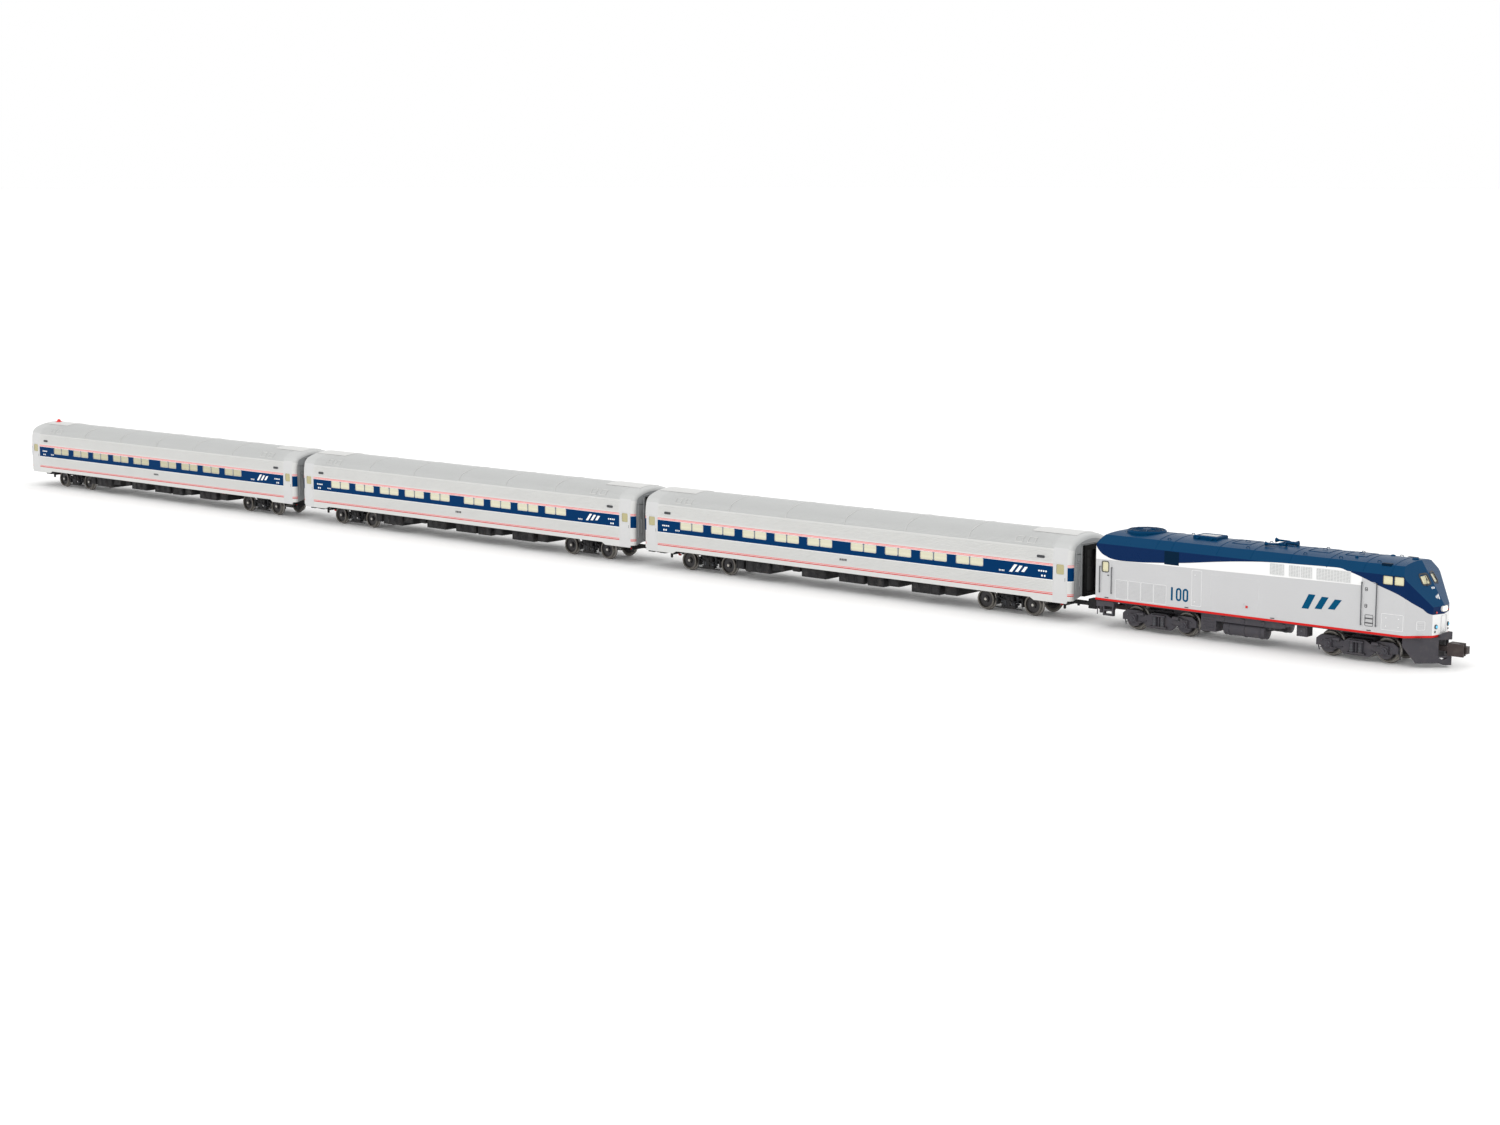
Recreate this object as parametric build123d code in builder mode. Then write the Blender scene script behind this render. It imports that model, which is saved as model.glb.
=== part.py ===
from build123d import *
from math import cos, radians
import os

# O gauge passenger train, millimetres: a diesel locomotive and three fluted coaches, coupled.
# +X is forward, +Y is the left side and +Z is up. z = 0 is the bottom of the wheel flanges,
# and x = 0 is the middle of the whole train. Each vehicle is drawn about its own origin, a
# coach about its middle and the locomotive from the back of its shell, and moved on export.

# ---------------------------------------------------------------- driving dimensions
COACH_PITCH = 550.0
COACH_LENGTH = 535.0
COACH_WIDTH = 66.7
COACH_TRUCK_X = 189.0
LOCO_LENGTH = 327.0
LOCO_WIDTH = 63.5
LOCO_GAP = 26.0
LOCO_TRUCK_X = {"rear": 63.0, "front": 259.0}
COACH_COUNT = 3

RAIL_Z = 1.3
COUPLER_Z = RAIL_Z + 15.0
HALF_GAP = (COACH_PITCH - COACH_LENGTH) / 2
FRONT_REACH = 349.0
TAIL_REACH = 12.0
RUN_CLEARANCE = 0.05

COACH_1_X = (
    (COACH_COUNT - 1) * COACH_PITCH + TAIL_REACH - LOCO_GAP - FRONT_REACH
) / 2
LOCO_X = COACH_1_X + COACH_LENGTH / 2 + LOCO_GAP

# ---------------------------------------------------------------- coach dimensions
COACH_BOTTOM = RAIL_Z + 19.9
COACH_EAVES = RAIL_Z + 55.0
EAVES_RADIUS = 60.0
EAVES_TURN = 12.0
SHOULDER_RADIUS = 11.0
SHOULDER_TURN = 55.0
COACH_WALL = 1.6
END_RADIUS = 5.0
COACH_FLOOR = (RAIL_Z + 22.2, RAIL_Z + 24.6)
SKIRT_X = (222.0, 226.5, 262.5)
SKIRT_BOTTOM = RAIL_Z + 17.4

WINDOW_Z = RAIL_Z + 47.1
PANE_WIDTH = 15.0
PANE_HEIGHT = 7.4
PANE_STEP = 16.2
WINDOW_PITCH = 42.5
WINDOW_GROUPS = {-199.8: 5, 25.3: 4}
DOOR_X = 255.5
DOOR_WINDOW = (8.4, 9.4)
DOOR_WINDOW_Z = RAIL_Z + 49.0
GANGWAY_WIDTH = 20.0
GANGWAY_TOP = RAIL_Z + 66.0
GLASS_INSET = 0.4
GLASS = 0.9

# Underfloor equipment boxes: start x, length and bottom above the rail.
EQUIPMENT = (
    (-142.0, 10.0, 9.7),
    (-129.0, 32.0, 8.2),
    (-93.5, 14.5, 12.7),
    (-67.5, 9.0, 14.2),
    (-55.5, 31.0, 10.2),
    (-8.0, 31.5, 10.2),
    (28.0, 20.0, 9.9),
    (54.0, 12.5, 11.9),
    (82.0, 33.5, 9.3),
    (122.5, 13.5, 10.7),
)
EQUIPMENT_HALF_WIDTH = 29.5

SEAT_PITCH = 21.25
SEAT_ROWS = 20
LAMP_X = -250.0

# ---------------------------------------------------------------- wheels and trucks
COACH_WHEEL = 9.5
LOCO_WHEEL = 10.5
FLANGE_HEIGHT = RAIL_Z
WHEEL_BACK = 14.0
WHEEL_FACE = 19.0
AXLE_RADIUS = 1.5
AXLE_HALF = 19.6
COACH_WHEELBASE = 54.0
LOCO_WHEELBASE = 53.2
COACH_PIVOT = 3.0
LOCO_PIVOT = 4.0
BEAM_Y = (10.0, 12.8)

# ---------------------------------------------------------------- locomotive dimensions
LOCO_BOTTOM = RAIL_Z + 25.0
LOCO_CREASE = RAIL_Z + 77.0
LOCO_ROOF = RAIL_Z + 87.7
ROOF_EDGE = (24.0, RAIL_Z + 84.6)
LOCO_WALL = 1.8
REAR_RADIUS = 14.0
NOSE_BREAK = RAIL_Z + 51.0
BROW_X = 304.5
TAPER_X = 306.5
NOSE_HALF = 15.0
NOSE_SWEEP = 0.2
LOCO_FLOOR = (RAIL_Z + 24.0, RAIL_Z + 26.5)

CAB_WINDOWS_X = (290.1, 300.4)
CAB_WINDOW = (8.6, 7.0)
CAB_WINDOW_Z = RAIL_Z + 72.6
REAR_DOOR_WINDOW = (6.4, 9.0)
REAR_DOOR_X = 10.2
REAR_DOOR_Z = RAIL_Z + 56.3
WINDSHIELD = (9.2, 8.4)
WINDSHIELD_Y = 8.2
WINDSHIELD_Z = RAIL_Z + 72.8
HEADLIGHT = (9.0, 3.6)
HEADLIGHT_Z = NOSE_BREAK - 2.4

RAIL_RODS = ((4.6, 32.0, 56.5), (17.2, 32.0, 56.5), (266.5, 31.8, 69.0), (280.5, 31.8, 69.0))
SCREWS = ((128.0, 24.0), (128.0, -24.0), (209.0, 24.0), (209.0, -24.0))
SCREW_RADIUS = 1.0
SCREW_TOP = RAIL_Z + 36.0

GEAR_TEETH = 18
GEAR_RADIUS = 5.6
TOOTH_DEPTH = 1.1
WORM_RADIUS = 3.0
WORM_PITCH = 1.9
TIP_GAP = 0.15
MOTOR_X = LOCO_WHEELBASE / 2 - GEAR_RADIUS - WORM_RADIUS - TIP_GAP
MOTOR_RADIUS = 11.0
MOTOR_Z = (RAIL_Z + 27.6, RAIL_Z + 60.0)
SHAFT_RADIUS = 1.0
# Slot in the floor for the motor mount, from the rear truck's pivot.
MOUNT_SLOT = (5.6, 31.0)

PICKUP_PIVOT = (-9.0, RAIL_Z + 7.0)
ROLLER_RADIUS = 3.0
ROLLER_X = 5.0

FRONT_PIVOT_X = 311.0
REAR_PIVOT_X = 20.0
HEAD_BACK = 16.0
HEAD_FRONT = 7.0
HEAD_HALF_Y = 5.0
FRONT_HEAD_HALF_Z = 5.4
TAIL_HEAD_HALF_Z = 4.4
KNUCKLE_PIVOT = (5.0, 3.0)
KNUCKLE_PIN = 0.9
LINK_PIN = 1.5
BAR_PIN = 1.6
FRAME_Y = (20.4, 23.4)
SCREW_SEAT = RAIL_Z + 22.5
NOSE_TAPER_END = 323.0
PILOT_BACK = 304.0
PILOT_HALF = 29.5
PILOT_TIP = 335.0
PILOT_BOTTOM = RAIL_Z + 3.0
PILOT_SLOT_Z = RAIL_Z + 9.0
BLADE_HALF = 8.0
BLADE_TOP = RAIL_Z + 29.5
BLADE_SHOULDER = RAIL_Z + 26.2
BLADE_BOTTOM = RAIL_Z + 1.0

os.makedirs("parts", exist_ok=True)


# ---------------------------------------------------------------- drawing helpers
def block(x, y, z, mode=Mode.ADD):
    """A box that spans one (low, high) pair on each axis, in either order."""
    pairs = [sorted(pair) for pair in (x, y, z)]
    middle = [(low + high) / 2 for low, high in pairs]
    size = [high - low for low, high in pairs]
    with Locations(tuple(middle)):
        Box(*size, mode=mode)


def post(x, y, z, radius, mode=Mode.ADD):
    """An upright cylinder between the two heights of z."""
    low, high = sorted(z)
    with Locations((x, y, (low + high) / 2)):
        Cylinder(radius, high - low, mode=mode)


def crossbar(x, z, radius, half_length, mode=Mode.ADD):
    """A cylinder along Y, centred on y = 0."""
    with Locations(Location((x, 0, z), (90, 0, 0))):
        Cylinder(radius, 2 * half_length, mode=mode)


def save(piece, label, x):
    """Moves a finished piece to its place in the train and writes its STEP file."""
    placed = piece.moved(Location((x, 0, 0)))
    placed.label = label
    export_step(placed, f"parts/{label}.step")


# ---------------------------------------------------------------- coach body
def coach_form(inset, bottom):
    """Solid coach outline, drawn in by inset on the sides, roof and ends, down to bottom."""
    half = COACH_WIDTH / 2 - inset
    turned = EAVES_TURN + SHOULDER_TURN
    with BuildPart() as form:
        with BuildSketch(Plane.YZ):
            with BuildLine():
                base = Line((0, bottom), (half, bottom))
                side = Line(base @ 1, (half, COACH_EAVES))
                lean = JernArc(side @ 1, side % 1, EAVES_RADIUS - inset, EAVES_TURN)
                shoulder = JernArc(lean @ 1, lean % 1, SHOULDER_RADIUS - inset, SHOULDER_TURN)
                crown_radius = (shoulder @ 1).X / cos(radians(turned))
                crown = JernArc(shoulder @ 1, shoulder % 1, crown_radius, 90 - turned)
                Line(crown @ 1, base @ 0)
            make_face()
            mirror(about=Plane.YZ)
        extrude(amount=COACH_LENGTH / 2 - inset, both=True)
        by_end = form.edges().group_by(Axis.X)
        outline = [edge for edge in by_end[0] + by_end[-1] if edge.center().Z > bottom + 1]
        fillet(outline, END_RADIUS - inset)
    return form.part


def coach_window_outlines():
    """Side view of every window: pairs of panes along the coach and one pane in each door."""
    centres = [
        start + WINDOW_PITCH * index
        for start, count in WINDOW_GROUPS.items()
        for index in range(count)
    ]
    for shift in (-PANE_STEP / 2, PANE_STEP / 2):
        with Locations(*[(centre + shift, WINDOW_Z) for centre in centres]):
            RectangleRounded(PANE_WIDTH, PANE_HEIGHT, 0.8)
    with Locations((-DOOR_X, DOOR_WINDOW_Z), (DOOR_X, DOOR_WINDOW_Z)):
        RectangleRounded(*DOOR_WINDOW, 0.8)


def coach_skirts():
    """Deeper lower edge of each side wall, from outside the truck to the end of the coach."""
    start, full, stop = SKIRT_X
    top = COACH_BOTTOM + 1
    middle_y = (COACH_WIDTH - COACH_WALL) / 2
    with BuildPart() as skirts:
        for side in (-1, 1):
            for end in (-1, 1):
                with BuildSketch(Plane.XZ.offset(side * middle_y)):
                    with BuildLine():
                        Polyline(
                            (end * start, top), (end * start, COACH_BOTTOM),
                            (end * full, SKIRT_BOTTOM), (end * stop, SKIRT_BOTTOM),
                            (end * stop, top), close=True,
                        )
                    make_face()
                extrude(amount=COACH_WALL / 2, both=True)
    return skirts.part


def coach_shell():
    """Hollow body with window, door-window and gangway openings."""
    outside = coach_form(0, COACH_BOTTOM)
    inside = coach_form(COACH_WALL, COACH_BOTTOM - 1)
    with BuildPart() as shell:
        add(outside)
        add(inside, mode=Mode.SUBTRACT)
        with BuildSketch(Plane.XZ):
            coach_window_outlines()
        extrude(amount=COACH_WIDTH, both=True, mode=Mode.SUBTRACT)
        add(coach_skirts())
        half = GANGWAY_WIDTH / 2
        block((-COACH_LENGTH, COACH_LENGTH), (-half, half), (COACH_FLOOR[1], GANGWAY_TOP),
              mode=Mode.SUBTRACT)
    return shell.part


def coach_windows():
    """Glazing: one thin pane inside every opening, a little below the outer face."""
    outside = coach_form(GLASS_INSET, COACH_BOTTOM)
    inside = coach_form(GLASS_INSET + GLASS, COACH_BOTTOM - 1)
    with BuildPart() as panes:
        with BuildSketch(Plane.XZ):
            coach_window_outlines()
        extrude(amount=COACH_WIDTH, both=True)
        add(outside, mode=Mode.INTERSECT)
        add(inside, mode=Mode.SUBTRACT)
    return panes.part


def coach_underframe():
    """Floor with the equipment that hangs below it and a hole for each truck's pivot."""
    floor_x = COACH_LENGTH / 2 - COACH_WALL - 0.4
    floor_y = COACH_WIDTH / 2 - COACH_WALL - 0.4
    with BuildPart() as underframe:
        block((-floor_x, floor_x), (-floor_y, floor_y), COACH_FLOOR)
        corners = underframe.edges().filter_by(Axis.Z)
        fillet(corners, END_RADIUS - COACH_WALL)
        for start, length, bottom in EQUIPMENT:
            block((start, start + length), (-EQUIPMENT_HALF_WIDTH, EQUIPMENT_HALF_WIDTH),
                  (RAIL_Z + bottom, COACH_FLOOR[0]))
        for x in (-COACH_TRUCK_X, COACH_TRUCK_X):
            post(x, 0, (RAIL_Z, COACH_FLOOR[1]), COACH_PIVOT + RUN_CLEARANCE, Mode.SUBTRACT)
    return underframe.part


def coach_diaphragms():
    """Frame around the gangway at each end, standing proud of the end wall."""
    half = GANGWAY_WIDTH / 2
    with BuildPart() as diaphragms:
        for end in (-1, 1):
            x = (end * COACH_LENGTH / 2, end * (COACH_LENGTH / 2 + 2.4))
            block(x, (-half - 4, half + 4), (COACH_FLOOR[1] - 2, GANGWAY_TOP + 4))
            block(x, (-half, half), (COACH_FLOOR[1], GANGWAY_TOP), mode=Mode.SUBTRACT)
    return diaphragms.part


def coach_interior():
    """Tray that lies on the floor, with a double seat on each side of the aisle in each row."""
    tray_top = COACH_FLOOR[1] + 1.2
    with BuildPart() as interior:
        block((-225, 225), (-29.5, 29.5), (COACH_FLOOR[1], tray_top))
        for row in range(SEAT_ROWS):
            x = (row - (SEAT_ROWS - 1) / 2) * SEAT_PITCH
            for side in (-1, 1):
                y = (side * 6.5, side * 28.5)
                block((x - 5, x + 6), y, (tray_top, tray_top + 8))
                block((x - 6.5, x - 4), y, (tray_top, tray_top + 19))
    return interior.part


def marker_lamp():
    """Tail lamp on the roof: a round foot that follows the crown, and a domed lens."""
    lens_z = RAIL_Z + 83.4
    body = coach_form(0, COACH_BOTTOM)
    with BuildPart() as lamp:
        post(LAMP_X, 0, (COACH_EAVES, RAIL_Z + 81.6), 4.2)
        post(LAMP_X, 0, (COACH_EAVES, lens_z), 2.4)
        with Locations((LAMP_X, 0, lens_z)):
            Sphere(2.4, arc_size1=0)
        add(body, mode=Mode.SUBTRACT)
    return lamp.part


# ---------------------------------------------------------------- wheels
def wheel(side, x, tread):
    """One flanged wheel: tread, flange, dished web and hub, turned about the axle."""
    axle_z = RAIL_Z + tread
    flange = tread + FLANGE_HEIGHT
    rim = tread - 1.6
    web = WHEEL_FACE - 1.5
    hub_face = WHEEL_FACE - 0.2
    profile = (
        (WHEEL_BACK, AXLE_RADIUS),
        (WHEEL_BACK, flange - 0.3),
        (WHEEL_BACK + 0.3, flange),
        (WHEEL_BACK + 0.9, flange),
        (WHEEL_BACK + 1.6, tread),
        (WHEEL_FACE, tread - 0.15),
        (WHEEL_FACE, rim),
        (web, rim - 0.5),
        (web, AXLE_RADIUS + 1.9),
        (hub_face, AXLE_RADIUS + 1.5),
        (hub_face, AXLE_RADIUS),
    )
    with BuildPart() as disc:
        with BuildSketch(Plane(origin=(x, 0, axle_z), x_dir=(0, 1, 0), z_dir=(1, 0, 0))):
            with BuildLine():
                Polyline(*[(side * y, radius) for y, radius in profile], close=True)
            make_face()
        revolve(axis=Axis((x, 0, axle_z), (0, 1, 0)))
    return disc.part


def worm_wheel(x, axle_z):
    """Toothed wheel in the middle of the driven axle."""
    root = GEAR_RADIUS - TOOTH_DEPTH
    with BuildPart() as gear:
        crossbar(x, axle_z, root, 2.0)
        with BuildSketch(Plane(origin=(x, 0, axle_z), x_dir=(1, 0, 0), z_dir=(0, -1, 0))):
            with PolarLocations(root + TOOTH_DEPTH / 2 - 0.1, GEAR_TEETH):
                Rectangle(TOOTH_DEPTH + 0.2, 0.8)
        extrude(amount=2.0, both=True)
        crossbar(x, axle_z, AXLE_RADIUS, 3.0, Mode.SUBTRACT)
    return gear.part


def wheelset(x, tread, geared=False):
    """Axle with a wheel pressed on each end, and a worm wheel if the axle is driven."""
    axle_z = RAIL_Z + tread
    with BuildPart() as axle:
        crossbar(x, axle_z, AXLE_RADIUS, AXLE_HALF)
        chamfer(axle.edges().filter_by(GeomType.CIRCLE), 0.3)
    pieces = [axle.part, wheel(1, x, tread), wheel(-1, x, tread)]
    if geared:
        pieces.append(worm_wheel(x, axle_z))
    return Compound(children=pieces)


# ---------------------------------------------------------------- couplers
def pin_head(link_x, toward):
    """Coupler head that carries the link pin; toward is the way it faces along X."""
    z = (COUPLER_Z - 4.5, COUPLER_Z + 4.5)
    jaw = (COUPLER_Z - 4.5, COUPLER_Z - 2.0)
    block((link_x - toward * 4, link_x - toward * 12), (-4.6, 4.6), z)
    block((link_x, link_x - toward * 5), (-3.0, 3.0), jaw)
    post(link_x, 0, jaw, 3.0)
    post(link_x, 0, (jaw[0], z[1]), LINK_PIN)


def eye_head(link_x, toward):
    """Coupler head whose eye drops over the link pin of the vehicle in front."""
    z = (COUPLER_Z - 4.5, COUPLER_Z + 4.5)
    eye = (COUPLER_Z - 1.2, COUPLER_Z + 2.2)
    block((link_x - toward * 4, link_x - toward * 12), (-4.6, 4.6), z)
    block((link_x, link_x - toward * 5), (-3.3, 3.3), eye)
    post(link_x, 0, eye, 3.3)
    post(link_x, 0, eye, LINK_PIN + RUN_CLEARANCE, Mode.SUBTRACT)


def open_head(tip_x, toward, half_z):
    """Coupler head at a free end: a guard arm, and two lips that hold the knuckle's pin."""
    half_y = HEAD_HALF_Y
    back, front = (tip_x - toward * HEAD_BACK, tip_x - toward * HEAD_FRONT)
    z = (COUPLER_Z - half_z, COUPLER_Z + half_z)
    pivot_x = tip_x - toward * KNUCKLE_PIVOT[0]
    pivot_y = toward * KNUCKLE_PIVOT[1]
    block((back, front), (-half_y, half_y), z)
    block((front, tip_x - toward * 1.5), (-toward * half_y, -toward * (half_y - 1.8)), z)
    for lip in ((z[0], z[0] + 2.0), (z[1] - 2.0, z[1])):
        block((front, pivot_x), (toward * (half_y - 4.0), toward * half_y), lip)
        post(pivot_x, pivot_y, lip, 2.0)
    post(pivot_x, pivot_y, z, KNUCKLE_PIN)


def knuckle(tip_x, toward, head_half_z):
    """Hook that turns on the coupler head's pin and opens outwards."""
    half_z = head_half_z - 2.3
    z = (COUPLER_Z - half_z, COUPLER_Z + half_z)
    pivot_x = tip_x - toward * KNUCKLE_PIVOT[0]
    pivot_y = toward * KNUCKLE_PIVOT[1]
    with BuildPart() as hook:
        post(pivot_x, pivot_y, z, 1.75)
        block((pivot_x, tip_x), (toward * 1.4, toward * 4.7), z)
        block((tip_x - toward * 2.2, tip_x), (-toward * 1.6, toward * 1.4), z)
        post(pivot_x, pivot_y, z, KNUCKLE_PIN + RUN_CLEARANCE, Mode.SUBTRACT)
        fillet(hook.edges().filter_by(Axis.Z).group_by(Axis.X)[-1 if toward > 0 else 0], 0.6)
    return hook.part


def tail_head(tip_x, toward):
    """Open head at the tail of the train."""
    open_head(tip_x, toward, TAIL_HEAD_HALF_Z)


# ---------------------------------------------------------------- coach trucks
def coach_truck(x, toward, head, link_reach):
    """Inside-bearing truck frame with its pivot post, spring blocks and coupler tongue."""
    axle_z = RAIL_Z + COACH_WHEEL
    outline = (
        (-34.0, 6.0), (-34.0, 12.5), (-20.0, 12.5), (-12.0, 16.5), (12.0, 16.5),
        (20.0, 12.5), (34.0, 12.5), (34.0, 6.0), (20.0, 6.0), (13.0, 8.0),
        (-13.0, 8.0), (-20.0, 6.0),
    )
    mid_y = sum(BEAM_Y) / 2
    tongue_z = (COUPLER_Z - 2.0, COUPLER_Z + 1.0)
    link_x = x + toward * link_reach
    with BuildPart() as truck:
        for side in (1, -1):
            with BuildSketch(Plane.XZ.offset(side * mid_y)):
                with BuildLine():
                    Polyline(*[(x + along, RAIL_Z + up) for along, up in outline], close=True)
                make_face()
            extrude(amount=(BEAM_Y[1] - BEAM_Y[0]) / 2, both=True)
            block((x - 6, x + 6), (side * 9, side * 20), (RAIL_Z + 10.5, RAIL_Z + 16.0))
            block((x - 8, x + 8), (side * 15.5, side * 20), (RAIL_Z + 4.2, RAIL_Z + 6.4))
            for spring in (-4.8, 4.8):
                post(x + spring, side * 17.8, (RAIL_Z + 6.0, RAIL_Z + 11.0), 2.1)
        block((x - 7, x + 7), (-11, 11), (RAIL_Z + 12.0, RAIL_Z + 16.5))
        post(x, 0, (RAIL_Z + 12.0, COACH_FLOOR[1] - 0.3), COACH_PIVOT)
        post(x, 0, (RAIL_Z + 16.0, COACH_FLOOR[0] - 0.4), COACH_PIVOT + 4)
        block((x, link_x - toward * 11), (-3.2, 3.2), tongue_z)
        for axle in (-1, 1):
            crossbar(x + axle * COACH_WHEELBASE / 2, axle_z, AXLE_RADIUS + RUN_CLEARANCE,
                     BEAM_Y[1] + 1, Mode.SUBTRACT)
        head(link_x, toward)
    return truck.part


# ---------------------------------------------------------------- locomotive body
def loco_side_profile(inset):
    """Side view of the body: round at the back of the roof and square at the front."""
    low = -LOCO_WIDTH
    with BuildSketch() as outline:
        with BuildLine():
            back = Line((0, low), (0, LOCO_ROOF - REAR_RADIUS))
            corner = JernArc(back @ 1, back % 1, REAR_RADIUS, -90)
            roof = Line(corner @ 1, (LOCO_LENGTH + 1, LOCO_ROOF))
            front = Line(roof @ 1, (LOCO_LENGTH + 1, low))
            Line(front @ 1, back @ 0)
        make_face()
        if inset:
            offset(amount=-inset, kind=Kind.INTERSECTION)
    return outline.sketch


def loco_section(inset):
    """Cross-section: upright sides, a sloping facet above the crease, and a crowned roof."""
    half = LOCO_WIDTH / 2
    low = -LOCO_WIDTH
    with BuildSketch() as outline:
        with BuildLine():
            Polyline(
                (-ROOF_EDGE[0], ROOF_EDGE[1]), (-half, LOCO_CREASE), (-half, low),
                (half, low), (half, LOCO_CREASE), (ROOF_EDGE[0], ROOF_EDGE[1]),
            )
            ThreePointArc(ROOF_EDGE, (0, LOCO_ROOF), (-ROOF_EDGE[0], ROOF_EDGE[1]))
        make_face()
        if inset:
            offset(amount=-inset, kind=Kind.INTERSECTION)
    return outline.sketch


def loco_plan(inset):
    """Plan view: straight sides that taper to the narrow, slightly pointed nose."""
    half = LOCO_WIDTH / 2
    nose_x = LOCO_LENGTH - NOSE_SWEEP * NOSE_HALF
    with BuildSketch() as outline:
        with BuildLine():
            Polyline(
                (0, -half), (TAPER_X, -half), (nose_x, -NOSE_HALF), (LOCO_LENGTH, 0),
                (nose_x, NOSE_HALF), (TAPER_X, half), (0, half), close=True,
            )
        make_face()
        if inset:
            offset(amount=-inset, kind=Kind.INTERSECTION)
    return outline.sketch


def loco_slope(inset):
    """Side view of the nose: upright to the break, then leaning back to the brow."""
    low = -LOCO_WIDTH
    high = LOCO_ROOF + 30
    lean = (LOCO_LENGTH - BROW_X) / (LOCO_ROOF - NOSE_BREAK)
    with BuildSketch() as outline:
        with BuildLine():
            Polyline(
                (-LOCO_WIDTH, low), (LOCO_LENGTH, low), (LOCO_LENGTH, NOSE_BREAK),
                (LOCO_LENGTH - lean * (high - NOSE_BREAK), high), (-LOCO_WIDTH, high), close=True,
            )
        make_face()
        if inset:
            offset(amount=-inset, kind=Kind.INTERSECTION)
    return outline.sketch


def loco_form(inset, bottom):
    """Solid body outline, drawn in by inset all round, down to bottom."""
    section = loco_section(inset)
    profile = loco_side_profile(inset)
    plan = loco_plan(inset)
    slope = loco_slope(inset)
    with BuildPart() as nose:
        for side in (1, -1):
            with BuildSketch(Plane.XZ):
                add(slope)
            extrude(amount=LOCO_WIDTH, dir=(-NOSE_SWEEP, side, 0))
    with BuildPart() as form:
        with BuildSketch(Plane.YZ.offset(-1)):
            add(section)
        extrude(amount=LOCO_LENGTH + 2)
        with BuildSketch(Plane.XZ):
            add(profile)
        extrude(amount=LOCO_WIDTH, both=True, mode=Mode.INTERSECT)
        with BuildSketch(Plane.XY):
            add(plan)
        extrude(amount=2 * LOCO_ROOF, mode=Mode.INTERSECT)
        add(nose.part, mode=Mode.INTERSECT)
        split(bisect_by=Plane.XY.offset(bottom), keep=Keep.TOP)
    return form.part


def windshield_plane():
    """Plane on the sloping front at the height of the windshield, facing forwards and up."""
    lean = (LOCO_LENGTH - BROW_X) / (LOCO_ROOF - NOSE_BREAK)
    x = LOCO_LENGTH - lean * (WINDSHIELD_Z - NOSE_BREAK)
    return Plane(origin=(x, 0, WINDSHIELD_Z), x_dir=(0, 1, 0), z_dir=(1, 0, lean))


def loco_side_openings():
    """Side view of the two cab windows and the window in the rear door."""
    with Locations(*[(x, CAB_WINDOW_Z) for x in CAB_WINDOWS_X]):
        RectangleRounded(*CAB_WINDOW, 0.8)
    with Locations((REAR_DOOR_X, REAR_DOOR_Z)):
        RectangleRounded(*REAR_DOOR_WINDOW, 1.2)


def loco_openings():
    """Solid prisms through every window and through the headlight opening."""
    with BuildPart() as prisms:
        with BuildSketch(Plane.XZ):
            loco_side_openings()
        extrude(amount=LOCO_WIDTH, both=True)
        with BuildSketch(windshield_plane()):
            with Locations((-WINDSHIELD_Y, 0), (WINDSHIELD_Y, 0)):
                RectangleRounded(*WINDSHIELD, 1.0)
        extrude(amount=8, both=True)
    return prisms.part


def headlight_opening():
    """Prism through the upright front of the nose just below the break."""
    with BuildPart() as prism:
        with BuildSketch(Plane.YZ.offset(LOCO_LENGTH - 8)):
            with Locations((0, HEADLIGHT_Z)):
                RectangleRounded(*HEADLIGHT, 1.4)
        extrude(amount=10)
    return prism.part


def loco_shell():
    """Hollow body with its windows, headlight opening and four screw bosses."""
    outside = loco_form(0, LOCO_BOTTOM)
    inside = loco_form(LOCO_WALL, LOCO_BOTTOM - 1)
    openings = loco_openings()
    light = headlight_opening()
    boss_z = (LOCO_FLOOR[1], SCREW_TOP + 3)
    with BuildPart() as shell:
        add(outside)
        add(inside, mode=Mode.SUBTRACT)
        add(openings, mode=Mode.SUBTRACT)
        add(light, mode=Mode.SUBTRACT)
        for x, y in SCREWS:
            post(x, y, boss_z, 2.6)
            wall_y = LOCO_WIDTH / 2 - 0.5
            block((x - 1, x + 1), (y, wall_y if y > 0 else -wall_y), boss_z)
            post(x, y, (boss_z[0], SCREW_TOP), SCREW_RADIUS, Mode.SUBTRACT)
    return shell.part


def loco_windows():
    """Glazing: one thin pane in each opening, a little below the outer face."""
    outside = loco_form(GLASS_INSET, LOCO_BOTTOM)
    inside = loco_form(GLASS_INSET + GLASS, LOCO_BOTTOM - 1)
    openings = loco_openings()
    with BuildPart() as panes:
        add(openings)
        add(outside, mode=Mode.INTERSECT)
        add(inside, mode=Mode.SUBTRACT)
    return panes.part


def headlight_lens():
    """Lens that fills the opening and stands a little proud of the nose."""
    light = headlight_opening()
    with BuildPart() as lens:
        add(light)
        block((LOCO_LENGTH - 9, LOCO_LENGTH - 6), (-20, 20), (0, LOCO_ROOF), mode=Mode.SUBTRACT)
        block((LOCO_LENGTH + 0.3, LOCO_LENGTH + 3), (-20, 20), (0, LOCO_ROOF),
              mode=Mode.SUBTRACT)
    return lens.part


def roof_fan():
    """Low round fan cover near the back of the roof."""
    body = loco_form(0, LOCO_BOTTOM)
    with BuildPart() as fan:
        post(33.5, 0, (LOCO_ROOF - 6, LOCO_ROOF + 1.4), 18.0)
        chamfer(fan.edges().group_by(Axis.Z)[-1], 0.9)
        post(33.5, 0, (LOCO_ROOF, LOCO_ROOF + 2.0), 4.0)
        add(body, mode=Mode.SUBTRACT)
    return fan.part


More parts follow.
